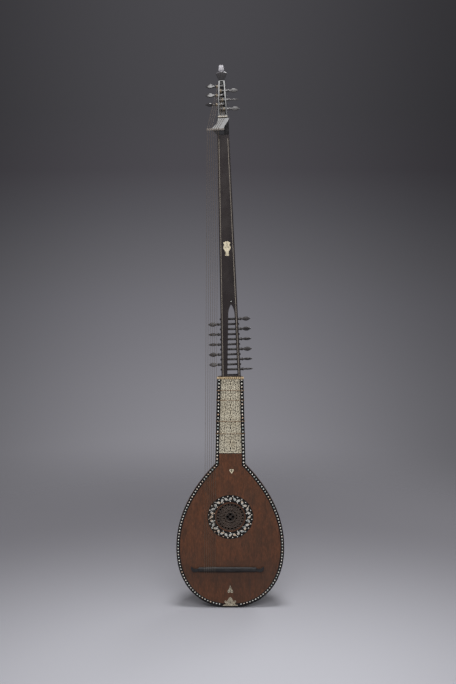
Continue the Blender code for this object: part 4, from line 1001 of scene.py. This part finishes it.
def makeFrets():
    f = fretForm
    front = faceY - f["away"]
    for number, distance in enumerate(f["distances"], start=1):
        name = f"fret_{number}"
        strands = []
        for shift in (-f["apart"], f["apart"]):
            height = nutZ - distance + shift
            side = neckHalf(height) + f["away"]
            cornerY = faceY + f["corner"] - f["away"]
            path = neckRing(height, f["away"])
            path += [(-side, cornerY, height), (f["corner"] - side, front, height),
                     (side - f["corner"], front, height), (side, cornerY, height)]
            strands.append(tubePiece(name + "_strand", path, f["radius"], fretGut, closed=True))
        start = f["knotInset"] - side
        knot = [(start + f["knotPitch"] * done, front - f["knotOut"] + f["knotRadius"] * math.cos(turn),
                 nutZ - distance + f["knotRadius"] * math.sin(turn))
                for turn, done in coilSteps(f["knotTurns"], f["knotSteps"])]
        strands.append(tubePiece(name + "_knot", knot, f["radius"], fretGut))
        keepPiece(joined(name + "_gut", strands), [name], name)


makeFrets()
print("frets tied")


# shell dots along the black edge bands; the rows of a dot give shares of its height and radius

dotForm = {"radius": 0.0021, "neckRadius": 0.0025, "proud": 0.00022, "sides": 14, "inset": 0.0062, "lowInset": 0.0082,
           "bodySpacing": 0.0104, "neckSpacing": 0.0116, "oval": 1.12, "start": 0.034, "bodyEnd": 0.004,
           "neckStart": 0.006, "end": 0.004, "sunk": 0.0003, "rows": ((0.6, 0.97), (1.0, 0.82)),
           "footHeights": [0.0, 0.0006]}


def makeDot(name, radius, proud, sides):
    rows = [(dotForm["sunk"], 1.0)] + [(-proud * rise, share) for rise, share in dotForm["rows"]]
    rings = [[(radius * share * math.cos(turn), y, radius * share * math.sin(turn)) for turn in aroundTurns(sides)]
             for y, share in rows]
    return linkObject(name, ringMesh(name, rings))


def buildDotTree():
    tree, start, end = geoTree("dotsAlongEdge", [
        ("Dot", "Object", None), ("Spacing", "Float", 0.01), ("Oval", "Float", 1.2)])
    points = addNode(tree, "GeometryNodeCurveToPoints", {"Curve": start["Geometry"], "Length": start["Spacing"]},
                     mode="LENGTH").outputs
    shape = addNode(tree, "GeometryNodeObjectInfo", {"Object": start["Dot"]}).outputs["Geometry"]
    turn = addNode(tree, "FunctionNodeAlignRotationToVector", {"Vector": points["Tangent"]}, axis="Z", pivot_axis="Y")
    parity = addParity(tree, addNode(tree, "GeometryNodeInputIndex").outputs[0])
    longer = addMath(tree, "POWER", start["Oval"], parity)   # every second dot is an oval
    narrower = addMath(tree, "DIVIDE", 1, longer)
    spread = addNode(tree, "GeometryNodeInstanceOnPoints", {
        "Points": points["Points"], "Instance": shape, "Rotation": turn.outputs[0],
        "Scale": joinParts(tree, narrower, 1, longer)})
    return closeTree(tree, start, end, spread.outputs[0])


# the line of the dots on the edge band, from the lower end up to the shoulder
def bandLine(inset, lowInset):
    outline = [Vector((halfWidth(h), bodyForm["base"] + h)) for h in dotForm["footHeights"] + bodyHeights()]
    line = []
    for i, point in enumerate(outline):
        along = (outline[min(i + 1, len(outline) - 1)] - outline[max(i - 1, 0)]).normalized()
        low = max(1 - (point.y - bodyForm["base"]) / bodyForm["widest"], 0) ** 2
        line.append(point + Vector((-along.y, along.x)) * (inset + (lowInset - inset) * low))
    return line


dotTree = buildDotTree()


def makeDots():
    f = dotForm
    bodyDot, neckDot = (makeDot("dotShape", f[key], f["proud"], f["sides"]) for key in ("radius", "neckRadius"))
    body = [point for point in bandLine(f["inset"], f["lowInset"])
            if point.x > f["start"] and point.y < shoulderZ - f["bodyEnd"]]
    neck = [Vector((bodyForm["neckWidth"] / 2 - f["inset"], shoulderZ + f["neckStart"])),
            Vector((neckForm["nutWidth"] / 2 - f["inset"], nutZ - f["end"]))]
    runs = ((body, f["bodySpacing"], "body", bodyDot), (neck, f["neckSpacing"], "neck", neckDot))
    for side, label in ((-1, "bass"), (1, "treble")):
        for line, spacing, part, dot in runs:
            path = pathCurve("dotPath", [[(side * point.x, faceY, point.y) for point in line]])
            made = runTree(path, dotTree, f"shell_dots_{part}_{label}", {"Dot": dot, "Spacing": spacing,
                                                                        "Oval": f["oval"], "Finish": shell})
            keepPiece(made)
    dropObjects(bodyDot, neckDot)


makeDots()
print("edge dots laid")


# the rosette's shell leaves and small dots

rosetteForm = {"count": 28, "leafRadius": 0.0636, "dotCount": 28, "outerDots": 0.0728, "innerDots": 0.0553,
               "dotSize": 0.0018, "dotProud": 0.00018, "dotSides": 10, "centreZ": shoulderZ - 0.1849,
               "leafLength": 0.0148, "leafWidth": 0.0084, "leafSteps": 12, "bend": 0.7, "bendFrom": 0.4, "tilt": 0.62,
               "hook": 0.0022, "root": 0.42, "ends": (0.02, 0.97), "headward": 1.7, "fullness": 0.72,
               "leafRows": ((0.0003, 1.0), (-0.00012, 0.99), (-0.0002, 0.92))}


# a comma leaf, flat in X and Z: round at its outer end, with a tail that bends to one side
def makeLeaf(name, side):
    f = rosetteForm
    near, far = f["ends"]
    left, right = [], []
    for i in range(f["leafSteps"] + 1):
        share = i / f["leafSteps"]
        turn = side * (f["tilt"] + f["bend"] * (share - f["bendFrom"]))
        along = f["leafLength"] * (share - f["root"])
        x = side * along * math.sin(f["tilt"]) + side * f["hook"] * share ** 2
        z = along * math.cos(f["tilt"])
        full = math.sin(math.pi * (near + far * (1 - share)) ** f["headward"]) ** f["fullness"]
        half = f["leafWidth"] / 2 * full
        left.append((x + math.cos(turn) * half, z - math.sin(turn) * half))
        right.append((x - math.cos(turn) * half, z + math.sin(turn) * half))
    outline = left + right[::-1]
    rings = [[(x * size, y, z * size) for x, z in outline] for y, size in f["leafRows"]]
    return linkObject(name, ringMesh(name, rings))


def buildRingTree():
    tree, start, end = geoTree("ringOfInlay", [
        ("First", "Object", None), ("Second", "Object", None), ("Count", "Int", 28), ("Radius", "Float", 0.06),
        ("Start Turn", "Float", 0.0)])
    circle = addNode(tree, "GeometryNodeMeshCircle", {"Vertices": start["Count"], "Radius": start["Radius"]})
    angle = joinParts(tree, math.pi / 2, start["Start Turn"])
    stand = addNode(tree, "GeometryNodeTransform", {"Geometry": circle.outputs[0], "Rotation": angle})
    place = addNode(tree, "GeometryNodeInputPosition").outputs[0]
    turn = addNode(tree, "FunctionNodeAlignRotationToVector", {"Vector": place}, axis="X", pivot_axis="Y")
    odd = addParity(tree, addNode(tree, "GeometryNodeInputIndex").outputs[0])
    even = addMath(tree, "SUBTRACT", 1, odd)
    join = addNode(tree, "GeometryNodeJoinGeometry")
    for label, chosen in (("First", even), ("Second", odd)):
        shape = addNode(tree, "GeometryNodeObjectInfo", {"Object": start[label]}).outputs["Geometry"]
        spread = addNode(tree, "GeometryNodeInstanceOnPoints", {
            "Points": stand.outputs[0], "Selection": chosen, "Instance": shape, "Rotation": turn.outputs[0]})
        tree.links.new(spread.outputs[0], join.inputs[0])
    return closeTree(tree, start, end, join.outputs[0])


ringTree = buildRingTree()


def ringPiece(name, first, second, count, radius, startTurn, finish):
    seed = meshObject("ringSeed", bpy.data.meshes.new("ringSeed"), finish)
    made = runTree(seed, ringTree, name, {"First": first, "Second": second, "Count": count, "Radius": radius,
                                          "Start Turn": startTurn, "Finish": finish})
    made.data.transform(Matrix.Translation((0, faceY, rosetteForm["centreZ"])))
    return made


def makeRosette():
    f = rosetteForm
    leafOut, leafIn = makeLeaf("leafOut", 1), makeLeaf("leafIn", -1)
    dot = makeDot("rosetteDot", f["dotSize"], f["dotProud"], f["dotSides"])
    step = 2 * math.pi / f["count"]
    rings = (("rosette_leaves", leafOut, leafIn, f["count"], f["leafRadius"], 0, ringShell),
             ("rosette_outer_dots", dot, dot, f["dotCount"], f["outerDots"], step / 2, shell),
             ("rosette_inner_dots", dot, dot, f["dotCount"] // 2, f["innerDots"], step, shell))
    for ring in rings:
        keepPiece(ringPiece(*ring))
    dropObjects(leafOut, leafIn, dot)


makeRosette()
print("rosette inlaid")


# the rose: eyelets round its holes, plain rings, two interlaced bands and a cross; a row of eyelets gives
# their count, the row's radius and half of a hole's length and width

roseForm = {"rows": ((4, 0.0087, 0.0046, 0.0041), (12, 0.0218, 0.0028, 0.0033), (16, 0.0316, 0.0033, 0.0035),
                     (24, 0.0420, 0.0039, 0.0033)),
            "rim": 0.0008, "rimOut": 0.7, "rimSteps": 18, "sides": 6, "rings": (0.0155, 0.0170, 0.0474),
            "ringSteps": 96, "bands": ((0.0267, 12, 0.0022), (0.0368, 16, 0.0019)), "waveSteps": 12,
            "band": 0.00062, "star": 0.0345, "starTurns": (0, 30), "starCorners": 6, "cross": 0.0129,
            "crossTurns": (45, 135), "boss": 0.0028, "bossSteps": 16, "flat": 0.9}


def eyelet(name, halfLong, halfAcross, thick):
    f = roseForm
    out = thick * f["rimOut"]
    around = aroundTurns(f["sides"])
    rings = []
    for turn in aroundTurns(f["rimSteps"]):
        middle = Vector(((halfLong + out) * math.cos(turn), 0, (halfAcross + out) * math.sin(turn)))
        away = Vector((math.cos(turn), 0, math.sin(turn)))
        rings.append([middle + away * (thick * math.cos(a)) + Vector((0, thick * math.sin(a), 0)) for a in around])
    mesh = ringMesh(name, rings + [rings[0]], closedEnds=False)
    turnOutward(mesh, mergeWithin=0.000001)
    mesh.shade_smooth()
    return linkObject(name, mesh)


def makeRose():
    f = roseForm
    front = bodyForm["rim"]
    for number, (count, reach, halfLong, halfAcross) in enumerate(f["rows"]):
        shape = eyelet("eyelet", halfLong, halfAcross, f["rim"])
        startTurn = math.pi / count if number % 2 else 0
        finish = roseEdge if number else roseWood
        made = ringPiece(f"rose_eyelets_{number + 1}", shape, shape, count, reach, startTurn, finish)
        made.data.transform(Matrix.Translation((0, front, 0)))
        keepPiece(made)
        dropObjects(shape)
    centre = (0, rosetteForm["centreZ"])
    lines = [ringLine(radius, f["ringSteps"], centre) for radius in f["rings"]]
    for radius, waves, swing in f["bands"]:
        lines += [ringLine(radius, waves * f["waveSteps"], centre, waves, swing, phase) for phase in (0, math.pi)]
    for first in f["starTurns"]:
        corners = [math.radians(first + 360 / f["starCorners"] * i) for i in range(f["starCorners"])]
        lines.append([(f["star"] * math.cos(t), centre[1] + f["star"] * math.sin(t)) for t in corners])
    rings = linesPiece("rose_rings", lines, f["band"], f["flat"], faceY + front, roseEdge, closed=True,
                       sides=f["sides"])
    keepPiece(rings)
    arms = []
    for turn in f["crossTurns"]:
        x, z = f["cross"] * math.cos(math.radians(turn)), f["cross"] * math.sin(math.radians(turn))
        arms.append([(-x, centre[1] - z), (0, centre[1]), (x, centre[1] + z)])
    arms.append(ringLine(f["boss"], f["bossSteps"], centre) + [(f["boss"], centre[1])])
    cross = linesPiece("rose_cross", arms, f["rim"], f["flat"], faceY + front, roseEdge, sides=f["sides"])
    keepPiece(cross)


makeRose()
print("rose carved")


# the fingerboard's engraving: rows of curls and leaves, mirrored about the middle

boardForm = {"rows": 10, "step": 0.0248, "low": 0.5428, "length": 0.2555, "halfCell": 0.0355, "lowHalf": 0.0386,
             "topHalf": 0.0315, "margin": 0.0022, "line": 0.00056, "flat": 0.15, "proud": 0.00006, "border": 0.00035,
             "borderInsets": (0.0010, 0.0017), "footInset": 0.0006, "footLine": 0.0007, "leafSunk": 0.0001,
             "leafSides": 10, "leafTaper": (1.2, 0.4),
             "curls": ((0.0118, 0.0012, 0.0096, 0.0018, -110, 1.8), (0.0278, -0.0034, 0.0070, 0.0014, 75, -1.7),
                       (0.0304, 0.0078, 0.0036, 0.0009, -150, 1.4), (0.0205, 0.0096, 0.0026, 0.0008, -60, -1.2),
                       (0.0184, -0.0096, 0.0024, 0.0008, 60, 1.2), (0.0030, 0.0094, 0.0024, 0.0008, -90, 1.2),
                       (0.0036, -0.0094, 0.0025, 0.0008, 100, -1.2), (0.0330, -0.0100, 0.0019, 0.0006, 150, -1.2)),
             "leaves": ((0.0010, 0.0018, 90, 0.0096, 0.0022), (0.0010, -0.0062, 90, 0.0052, 0.0017),
                        (0.0210, 0.0032, 66, 0.0070, 0.0024), (0.0196, -0.0046, -62, 0.0058, 0.0022),
                        (0.0118, 0.0012, 30, 0.0046, 0.0021), (0.0278, -0.0034, -30, 0.0042, 0.0020),
                        (0.0110, -0.0110, 5, 0.0066, 0.0013), (0.0116, 0.0112, -6, 0.0062, 0.0012),
                        (0.0262, 0.0108, 24, 0.0044, 0.0014), (0.0262, -0.0114, -6, 0.0052, 0.0012),
                        (0.0338, 0.0014, 95, 0.0062, 0.0016), (0.0064, 0.0106, 55, 0.0034, 0.0011),
                        (0.0070, -0.0100, -55, 0.0032, 0.0011), (0.0336, 0.0106, 70, 0.0030, 0.0011),
                        (0.0245, 0.0048, -20, 0.0040, 0.0015), (0.0158, -0.0088, 30, 0.0034, 0.0012))}


# lens-shaped leaves, each a thin closed plate
def leafPlates(name, leaves):
    f = boardForm
    steps = f["leafSides"]
    full, taper = f["leafTaper"]
    work = bmesh.new()
    for x, z, angle, length, half in leaves:
        turn = math.radians(angle)
        outline = []
        for spot in aroundTurns(steps):
            along = -math.cos(spot) * length / 2
            across = half / 2 * math.sin(spot) * (full - taper * along / length)
            outline.append((x + along * math.cos(turn) - across * math.sin(turn),
                            z + along * math.sin(turn) + across * math.cos(turn)))
        back, fore = ([work.verts.new((px, y, pz)) for px, pz in outline] for y in (f["leafSunk"], -f["proud"]))
        work.faces.new(back)
        work.faces.new(fore[::-1])
        for i in range(steps):
            work.faces.new((back[i], fore[i], fore[(i + 1) % steps], back[(i + 1) % steps]))
    return linkObject(name, storeMesh(work, name))


def buildEngraving():
    tree, start, end = geoTree("engravedRows", [
        ("Curls", "Object", None), ("Leaves", "Object", None), ("Rows", "Int", 12), ("Step", "Float", 0.016),
        ("Low Scale", "Float", 1.0), ("Narrowing", "Float", 0.0), ("Line", "Float", 0.0004), ("Flat", "Float", 0.2)])
    link = tree.links.new
    rise = joinParts(tree, z=start["Step"])
    rows = addNode(tree, "GeometryNodeMeshLine", {"Count": start["Rows"], "Offset": rise}, mode="OFFSET")
    index = addNode(tree, "GeometryNodeInputIndex").outputs[0]
    across = addMath(tree, "SUBTRACT", start["Low Scale"], addMath(tree, "MULTIPLY", index, start["Narrowing"]))
    flip = addMath(tree, "MULTIPLY_ADD", addParity(tree, index), -2, 1)   # 1 on even rows, -1 on odd ones
    size = joinParts(tree, across, 1, flip)
    join = addNode(tree, "GeometryNodeJoinGeometry")
    for label in ("Curls", "Leaves"):
        shape = addNode(tree, "GeometryNodeObjectInfo", {"Object": start[label]}).outputs["Geometry"]
        spread = addNode(tree, "GeometryNodeInstanceOnPoints", {
            "Points": rows.outputs[0], "Instance": shape, "Scale": size})
        real = addNode(tree, "GeometryNodeRealizeInstances", {0: spread.outputs[0]})
        other = addNode(tree, "GeometryNodeTransform", {"Geometry": real.outputs[0], "Scale": (-1, 1, 1)})
        both = addNode(tree, "GeometryNodeJoinGeometry")
        link(real.outputs[0], both.inputs[0])
        link(other.outputs[0], both.inputs[0])
        if label == "Curls":
            profile = addNode(tree, "GeometryNodeCurvePrimitiveCircle", {"Resolution": 4, "Radius": start["Line"]})
            strip = addNode(tree, "GeometryNodeCurveToMesh", {
                "Curve": both.outputs[0], "Profile Curve": profile.outputs[0], "Fill Caps": True})
            thin = joinParts(tree, 1, start["Flat"], 1)
            both = addNode(tree, "GeometryNodeTransform", {"Geometry": strip.outputs[0], "Scale": thin})
        link(both.outputs[0], join.inputs[0])
    return closeTree(tree, start, end, join.outputs[0])


def makeEngraving():
    f = boardForm
    curlLines = [[(x, 0, z) for x, z in curl(*row)] for row in f["curls"]]
    curlShape = pathCurve("boardCurls", curlLines)
    leafShape = leafPlates("boardLeaves", f["leaves"])
    low = (f["lowHalf"] - f["margin"]) / f["halfCell"]
    top = (f["topHalf"] - f["margin"]) / f["halfCell"]
    seed = meshObject("boardSeed", bpy.data.meshes.new("boardSeed"), engraved)
    made = runTree(seed, buildEngraving(), "board_engraving", {
        "Curls": curlShape, "Leaves": leafShape, "Rows": f["rows"], "Step": f["step"], "Low Scale": low,
        "Narrowing": (low - top) / f["rows"], "Line": f["line"], "Flat": f["flat"], "Finish": engraved})
    first = f["low"] + (f["length"] - f["rows"] * f["step"]) / 2 + f["step"] / 2
    made.data.transform(Matrix.Translation((0, faceY, first)))
    turnOutward(made.data)
    keepPiece(made)
    dropObjects(curlShape, leafShape)
    lines = []
    for inset in f["borderInsets"]:
        low, top = f["lowHalf"] - inset, f["topHalf"] - inset
        lowZ, topZ = f["low"] + inset, f["low"] + f["length"] - inset
        lines.append([(-low, lowZ), (low, lowZ), (top, topZ), (-top, topZ)])
    border = linesPiece("board_border", lines, f["border"], f["flat"], faceY, engraved, closed=True)
    keepPiece(border)
    foot = [[(side * f["lowHalf"], f["low"] + f["footInset"]) for side in (-1, 1)]]
    keepPiece(linesPiece("board_foot_line", foot, f["footLine"], f["flat"], faceY, blackBand))
    print("engraving has", len(made.data.polygons), "faces")


makeEngraving()
print("fingerboard engraved")


# small trim: engraved lines on the ivory inlays, dark nut grooves, a shell dot above the slot; each inlay
# has its place and its lines on one side, where a row of plain numbers is a curl

trimForm = {"line": 0.00042, "flat": 0.2,
            "spade": {"x": 0, "z": bodyForm["base"] + 0.0638, "lines": (
                ((0.0006, 0.0100), (0.0014, 0.0035), (0.0030, -0.0004), (0.0058, -0.0038)),
                (0.0052, -0.0078, 0.0024, 0.0008, 60, -1.1))},
            "heart": {"x": 0.0042, "z": shoulderZ - 0.0258, "lines": ((0.0038, 0.0038, 0.0020, 0.0008, 180, -0.9),)},
            "end": {"x": 0, "z": bodyForm["base"] + 0.005, "lines": (
                ((0.0002, 0.0275), (0.0028, 0.0238), (0.0052, 0.0205), (0.0072, 0.0165), (0.0098, 0.0138)),
                (0.0046, 0.0118, 0.0036, 0.0009, 90, 1.2), (0.0110, 0.0068, 0.0030, 0.0008, -60, -1.2),
                (0.0173, 0.0152, 0.0018, 0.0006, -90, -1.2), ((0.0014, 0.0215), (0.0006, 0.0110), (0.0024, 0.0030)),
                ((0.0225, 0.0014), (0.0150, 0.0032), (0.0060, 0.0024)))},
            "plaque": {"x": 0, "z": 0.4300, "lines": (
                (0.0052, 0.0030, 0.0034, 0.0010, 200, -1.2), ((0.0006, 0.0190), (0.0022, 0.0120), (0.0010, 0.0060)),
                ((0.0066, -0.0085), (0.0040, -0.0120), (0.0006, -0.0135)),
                ((0.0010, -0.0160), (0.0034, -0.0195), (0.0010, -0.0215)))},
            "slits": ((0.0042, shoulderZ - 0.0236, 90, 0.0074, 0.0030),
                      (0.0, bodyForm["base"] + 0.0592, 90, 0.0098, 0.0020)),
            "grooves": 11, "groovePitch": 0.0068, "groove": (0.0011, 0.0031, 0.0008), "grooveSunk": 0.0012,
            "grooveSlack": 0.999, "nutFront": 0.0035, "dotPlace": (0.008, 0.0015, 0.2538), "dotRadius": 0.0014,
            "dotProud": 0.0003, "dotSides": 16}


def engraveInlay(name, front):
    inlay = trimForm[name]
    lines = [curl(*row) if isinstance(row[0], float) else row for row in inlay["lines"]]
    lines += [[(-x, z) for x, z in line] for line in lines]
    lines = [[(x + inlay["x"], z + inlay["z"]) for x, z in line] for line in lines]
    return linesPiece(name + "_engraving", lines, trimForm["line"], trimForm["flat"], front, engraved)


def makeTrim():
    f = trimForm
    for name in ("spade", "heart"):
        keepPiece(engraveInlay(name, faceY))
    slits = leafPlates("inlay_slits", f["slits"])
    slits.data.transform(Matrix.Translation((0, faceY, 0)))
    slits.data.materials.append(blackBand)
    turnOutward(slits.data)
    keepPiece(slits)
    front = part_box("end_ornament")[0].y
    keepPiece(engraveInlay("end", front))
    plaque = engraveInlay("plaque", extensionForm["front"])
    plaque.data.transform(extensionPlace)
    keepPiece(plaque)

    wide, tall, deep = f["groove"]
    corners = ((-tall, -deep), (tall, -deep), (tall, deep), (-tall, deep))
    rings = [[(x, y, z) for x, y in corners] for z in (-wide, wide)]
    groove = linkObject("grooveShape", ringMesh("grooveShape", rings))
    reach = f["groovePitch"] * (f["grooves"] - 1) / 2
    middle = nutZ + neckForm["gap"] + neckForm["nut"] / 2
    path = pathCurve("groovePath", [[(x, faceY - f["nutFront"] + f["grooveSunk"], middle) for x in (-reach, reach)]])
    made = runTree(path, dotTree, "nut_grooves", {"Dot": groove, "Spacing": f["groovePitch"] * f["grooveSlack"],
                                                  "Oval": 1.0, "Finish": engraved})
    keepPiece(made)
    dropObjects(groove)

    dot = makeDot("slot_dot", f["dotRadius"], f["dotProud"], f["dotSides"])
    dot.data.materials.append(shell)
    dot.data.transform(extensionPlace @ Matrix.Translation(f["dotPlace"]))
    keepPiece(dot)


makeTrim()
print("small trim laid")


# floor, light and camera

stageForm = {"floor": (154, 154, 160), "floorFarFalloff": (100, 99, 104), "rough": 0.75, "shine": 0.1, "segments": 96,
             "paintedPoolCentre": (0, -0.9, 0), "paleStart": 0.2, "paleEnd": 1.9, "level": -0.0003, "radius": 6.0,
             "fadeStart": 1.1, "fadeEnd": 2.3, "ambient": 0.27,
             "backdrop": ((0.0, (138, 137, 143)), (0.133, (130, 129, 135)), (0.319, (114, 113, 119)),
                          (0.409, (103, 102, 107)), (0.52, (88, 87, 92)), (0.62, (75, 73, 78)),
                          (0.75, (72, 71, 75)), (1.0, (73, 72, 76))),
             "backdropLow": -0.26, "paintedBrightX": -0.018, "sideReach": 0.19, "paintedSideDim": 0.55, "evenFrom": 0.25,
             "evenTo": 0.55}


# pale near the object and darker further off, a painted light falloff, and clear where the backdrop takes over
def makeFloor():
    f = stageForm
    work = bmesh.new()
    bmesh.ops.create_circle(work, cap_ends=True, segments=f["segments"], radius=f["radius"])
    mesh = storeMesh(work, "floor")
    made, tree, surface = freshMaterial("paleFloor")
    surface.inputs["Roughness"].default_value = f["rough"]
    surface.inputs["Specular IOR Level"].default_value = f["shine"]
    place = objectPlace(tree)
    # painted light falloff: the floor's colour darkens away from a pale spot in front of the object
    off = addVector(tree, "DISTANCE", place, f["paintedPoolCentre"])["Value"]
    darker = addRange(tree, off, (f["paleStart"], f["paleEnd"]), smooth=True)
    colour = mixColour(tree, darker, tone(*f["floor"]), tone(*f["floorFarFalloff"]))
    tree.links.new(colour, surface.inputs["Base Color"])
    far = addVector(tree, "LENGTH", place)["Value"]
    fade = addRange(tree, far, (f["fadeStart"], f["fadeEnd"]), smooth=True)
    clear = addNode(tree, "ShaderNodeBsdfTransparent")
    mix = addNode(tree, "ShaderNodeMixShader", {0: fade, 1: surface.outputs[0], 2: clear.outputs[0]})
    tree.links.new(mix.outputs[0], tree.nodes["Material Output"].inputs["Surface"])
    mesh.transform(Matrix.Translation((0, 0, f["level"])))
    meshObject("floor", mesh, made)


# the world lights evenly, and is seen as a plain grey sweep that darkens upwards and a little to the sides, a painted
# light falloff round a brighter middle
def makeWorld():
    f = stageForm
    world = bpy.data.worlds.new("studio")
    scene.world = world
    world.use_nodes = True
    tree = world.node_tree
    tree.nodes.clear()
    light = addNode(tree, "ShaderNodeBackground", {"Color": (1, 1, 1, 1), "Strength": f["ambient"]})
    parts = placeParts(tree, addNode(tree, "ShaderNodeTexCoord").outputs["Generated"])
    colour = addRamp(tree, addRange(tree, parts["Z"], (f["backdropLow"], 0.0)), f["backdrop"])
    # painted shade on the seen sweep: dimmer away from a bright middle, evening out again far to the sides
    away = addMath(tree, "ABSOLUTE", addMath(tree, "SUBTRACT", parts["X"], f["paintedBrightX"]))
    dim = addRange(tree, away, (0.0, f["sideReach"]), (0.0, f["paintedSideDim"]), smooth=True)
    even = addRange(tree, away, (f["evenFrom"], f["evenTo"]), (1.0, 0.0), smooth=True)
    level = addMath(tree, "SUBTRACT", 1.0, addMath(tree, "MULTIPLY", dim, even))
    seen = addNode(tree, "ShaderNodeBackground", {"Color": colour, "Strength": level})
    ray = addNode(tree, "ShaderNodeLightPath").outputs
    shown = addMath(tree, "MAXIMUM", ray["Is Camera Ray"], ray["Is Transmission Ray"])
    shown = addMath(tree, "MAXIMUM", shown, ray["Is Glossy Ray"])
    mix = addNode(tree, "ShaderNodeMixShader", {0: shown, 1: light.outputs[0], 2: seen.outputs[0]})
    addNode(tree, "ShaderNodeOutputWorld", {"Surface": mix.outputs[0]})


lampForm = {"front": {"place": (0.2, -4.4, 4.0), "aim": (0, 0, 1.0), "size": 3.2, "watts": 206},
            "side": {"place": (-3.2, -3.6, 1.6), "aim": (0, 0, 0.7), "size": 2.4, "watts": 18},
            "back": {"place": (2.2, 4.0, 2.8), "aim": (0, 0, 0.9), "size": 2.6, "watts": 72},
            "top": {"place": (0.1, -0.6, 4.4), "aim": (0, 0, 0), "size": 1.4, "watts": 160}}


def makeLamps():
    for name, f in lampForm.items():
        data = bpy.data.lights.new(name + "Light", "AREA")
        data.shape = "DISK"
        data.size = f["size"]
        data.energy = f["watts"]
        lamp = linkObject(name + "Light", data)
        lamp.location = f["place"]
        lamp.rotation_euler = (Vector(f["aim"]) - Vector(f["place"])).to_track_quat("-Z", "Y").to_euler()


cameraForm = {"side": -0.00775, "height": 2.04, "distance": 5.5, "pitch": 11.48, "focal": 1702.0, "frame": (456, 684)}


def makeCamera():
    f = cameraForm
    data = bpy.data.cameras.new("camera")
    data.sensor_width = 36.0
    data.lens = f["focal"] * data.sensor_width / max(f["frame"])
    camera = linkObject("camera", data)
    camera.location = (f["side"], faceY - f["distance"], f["height"])
    camera.rotation_euler = (math.radians(90 - f["pitch"]), 0, 0)
    scene.camera = camera


makeFloor()
makeWorld()
makeLamps()
makeCamera()
print("stage, lamps and camera set")
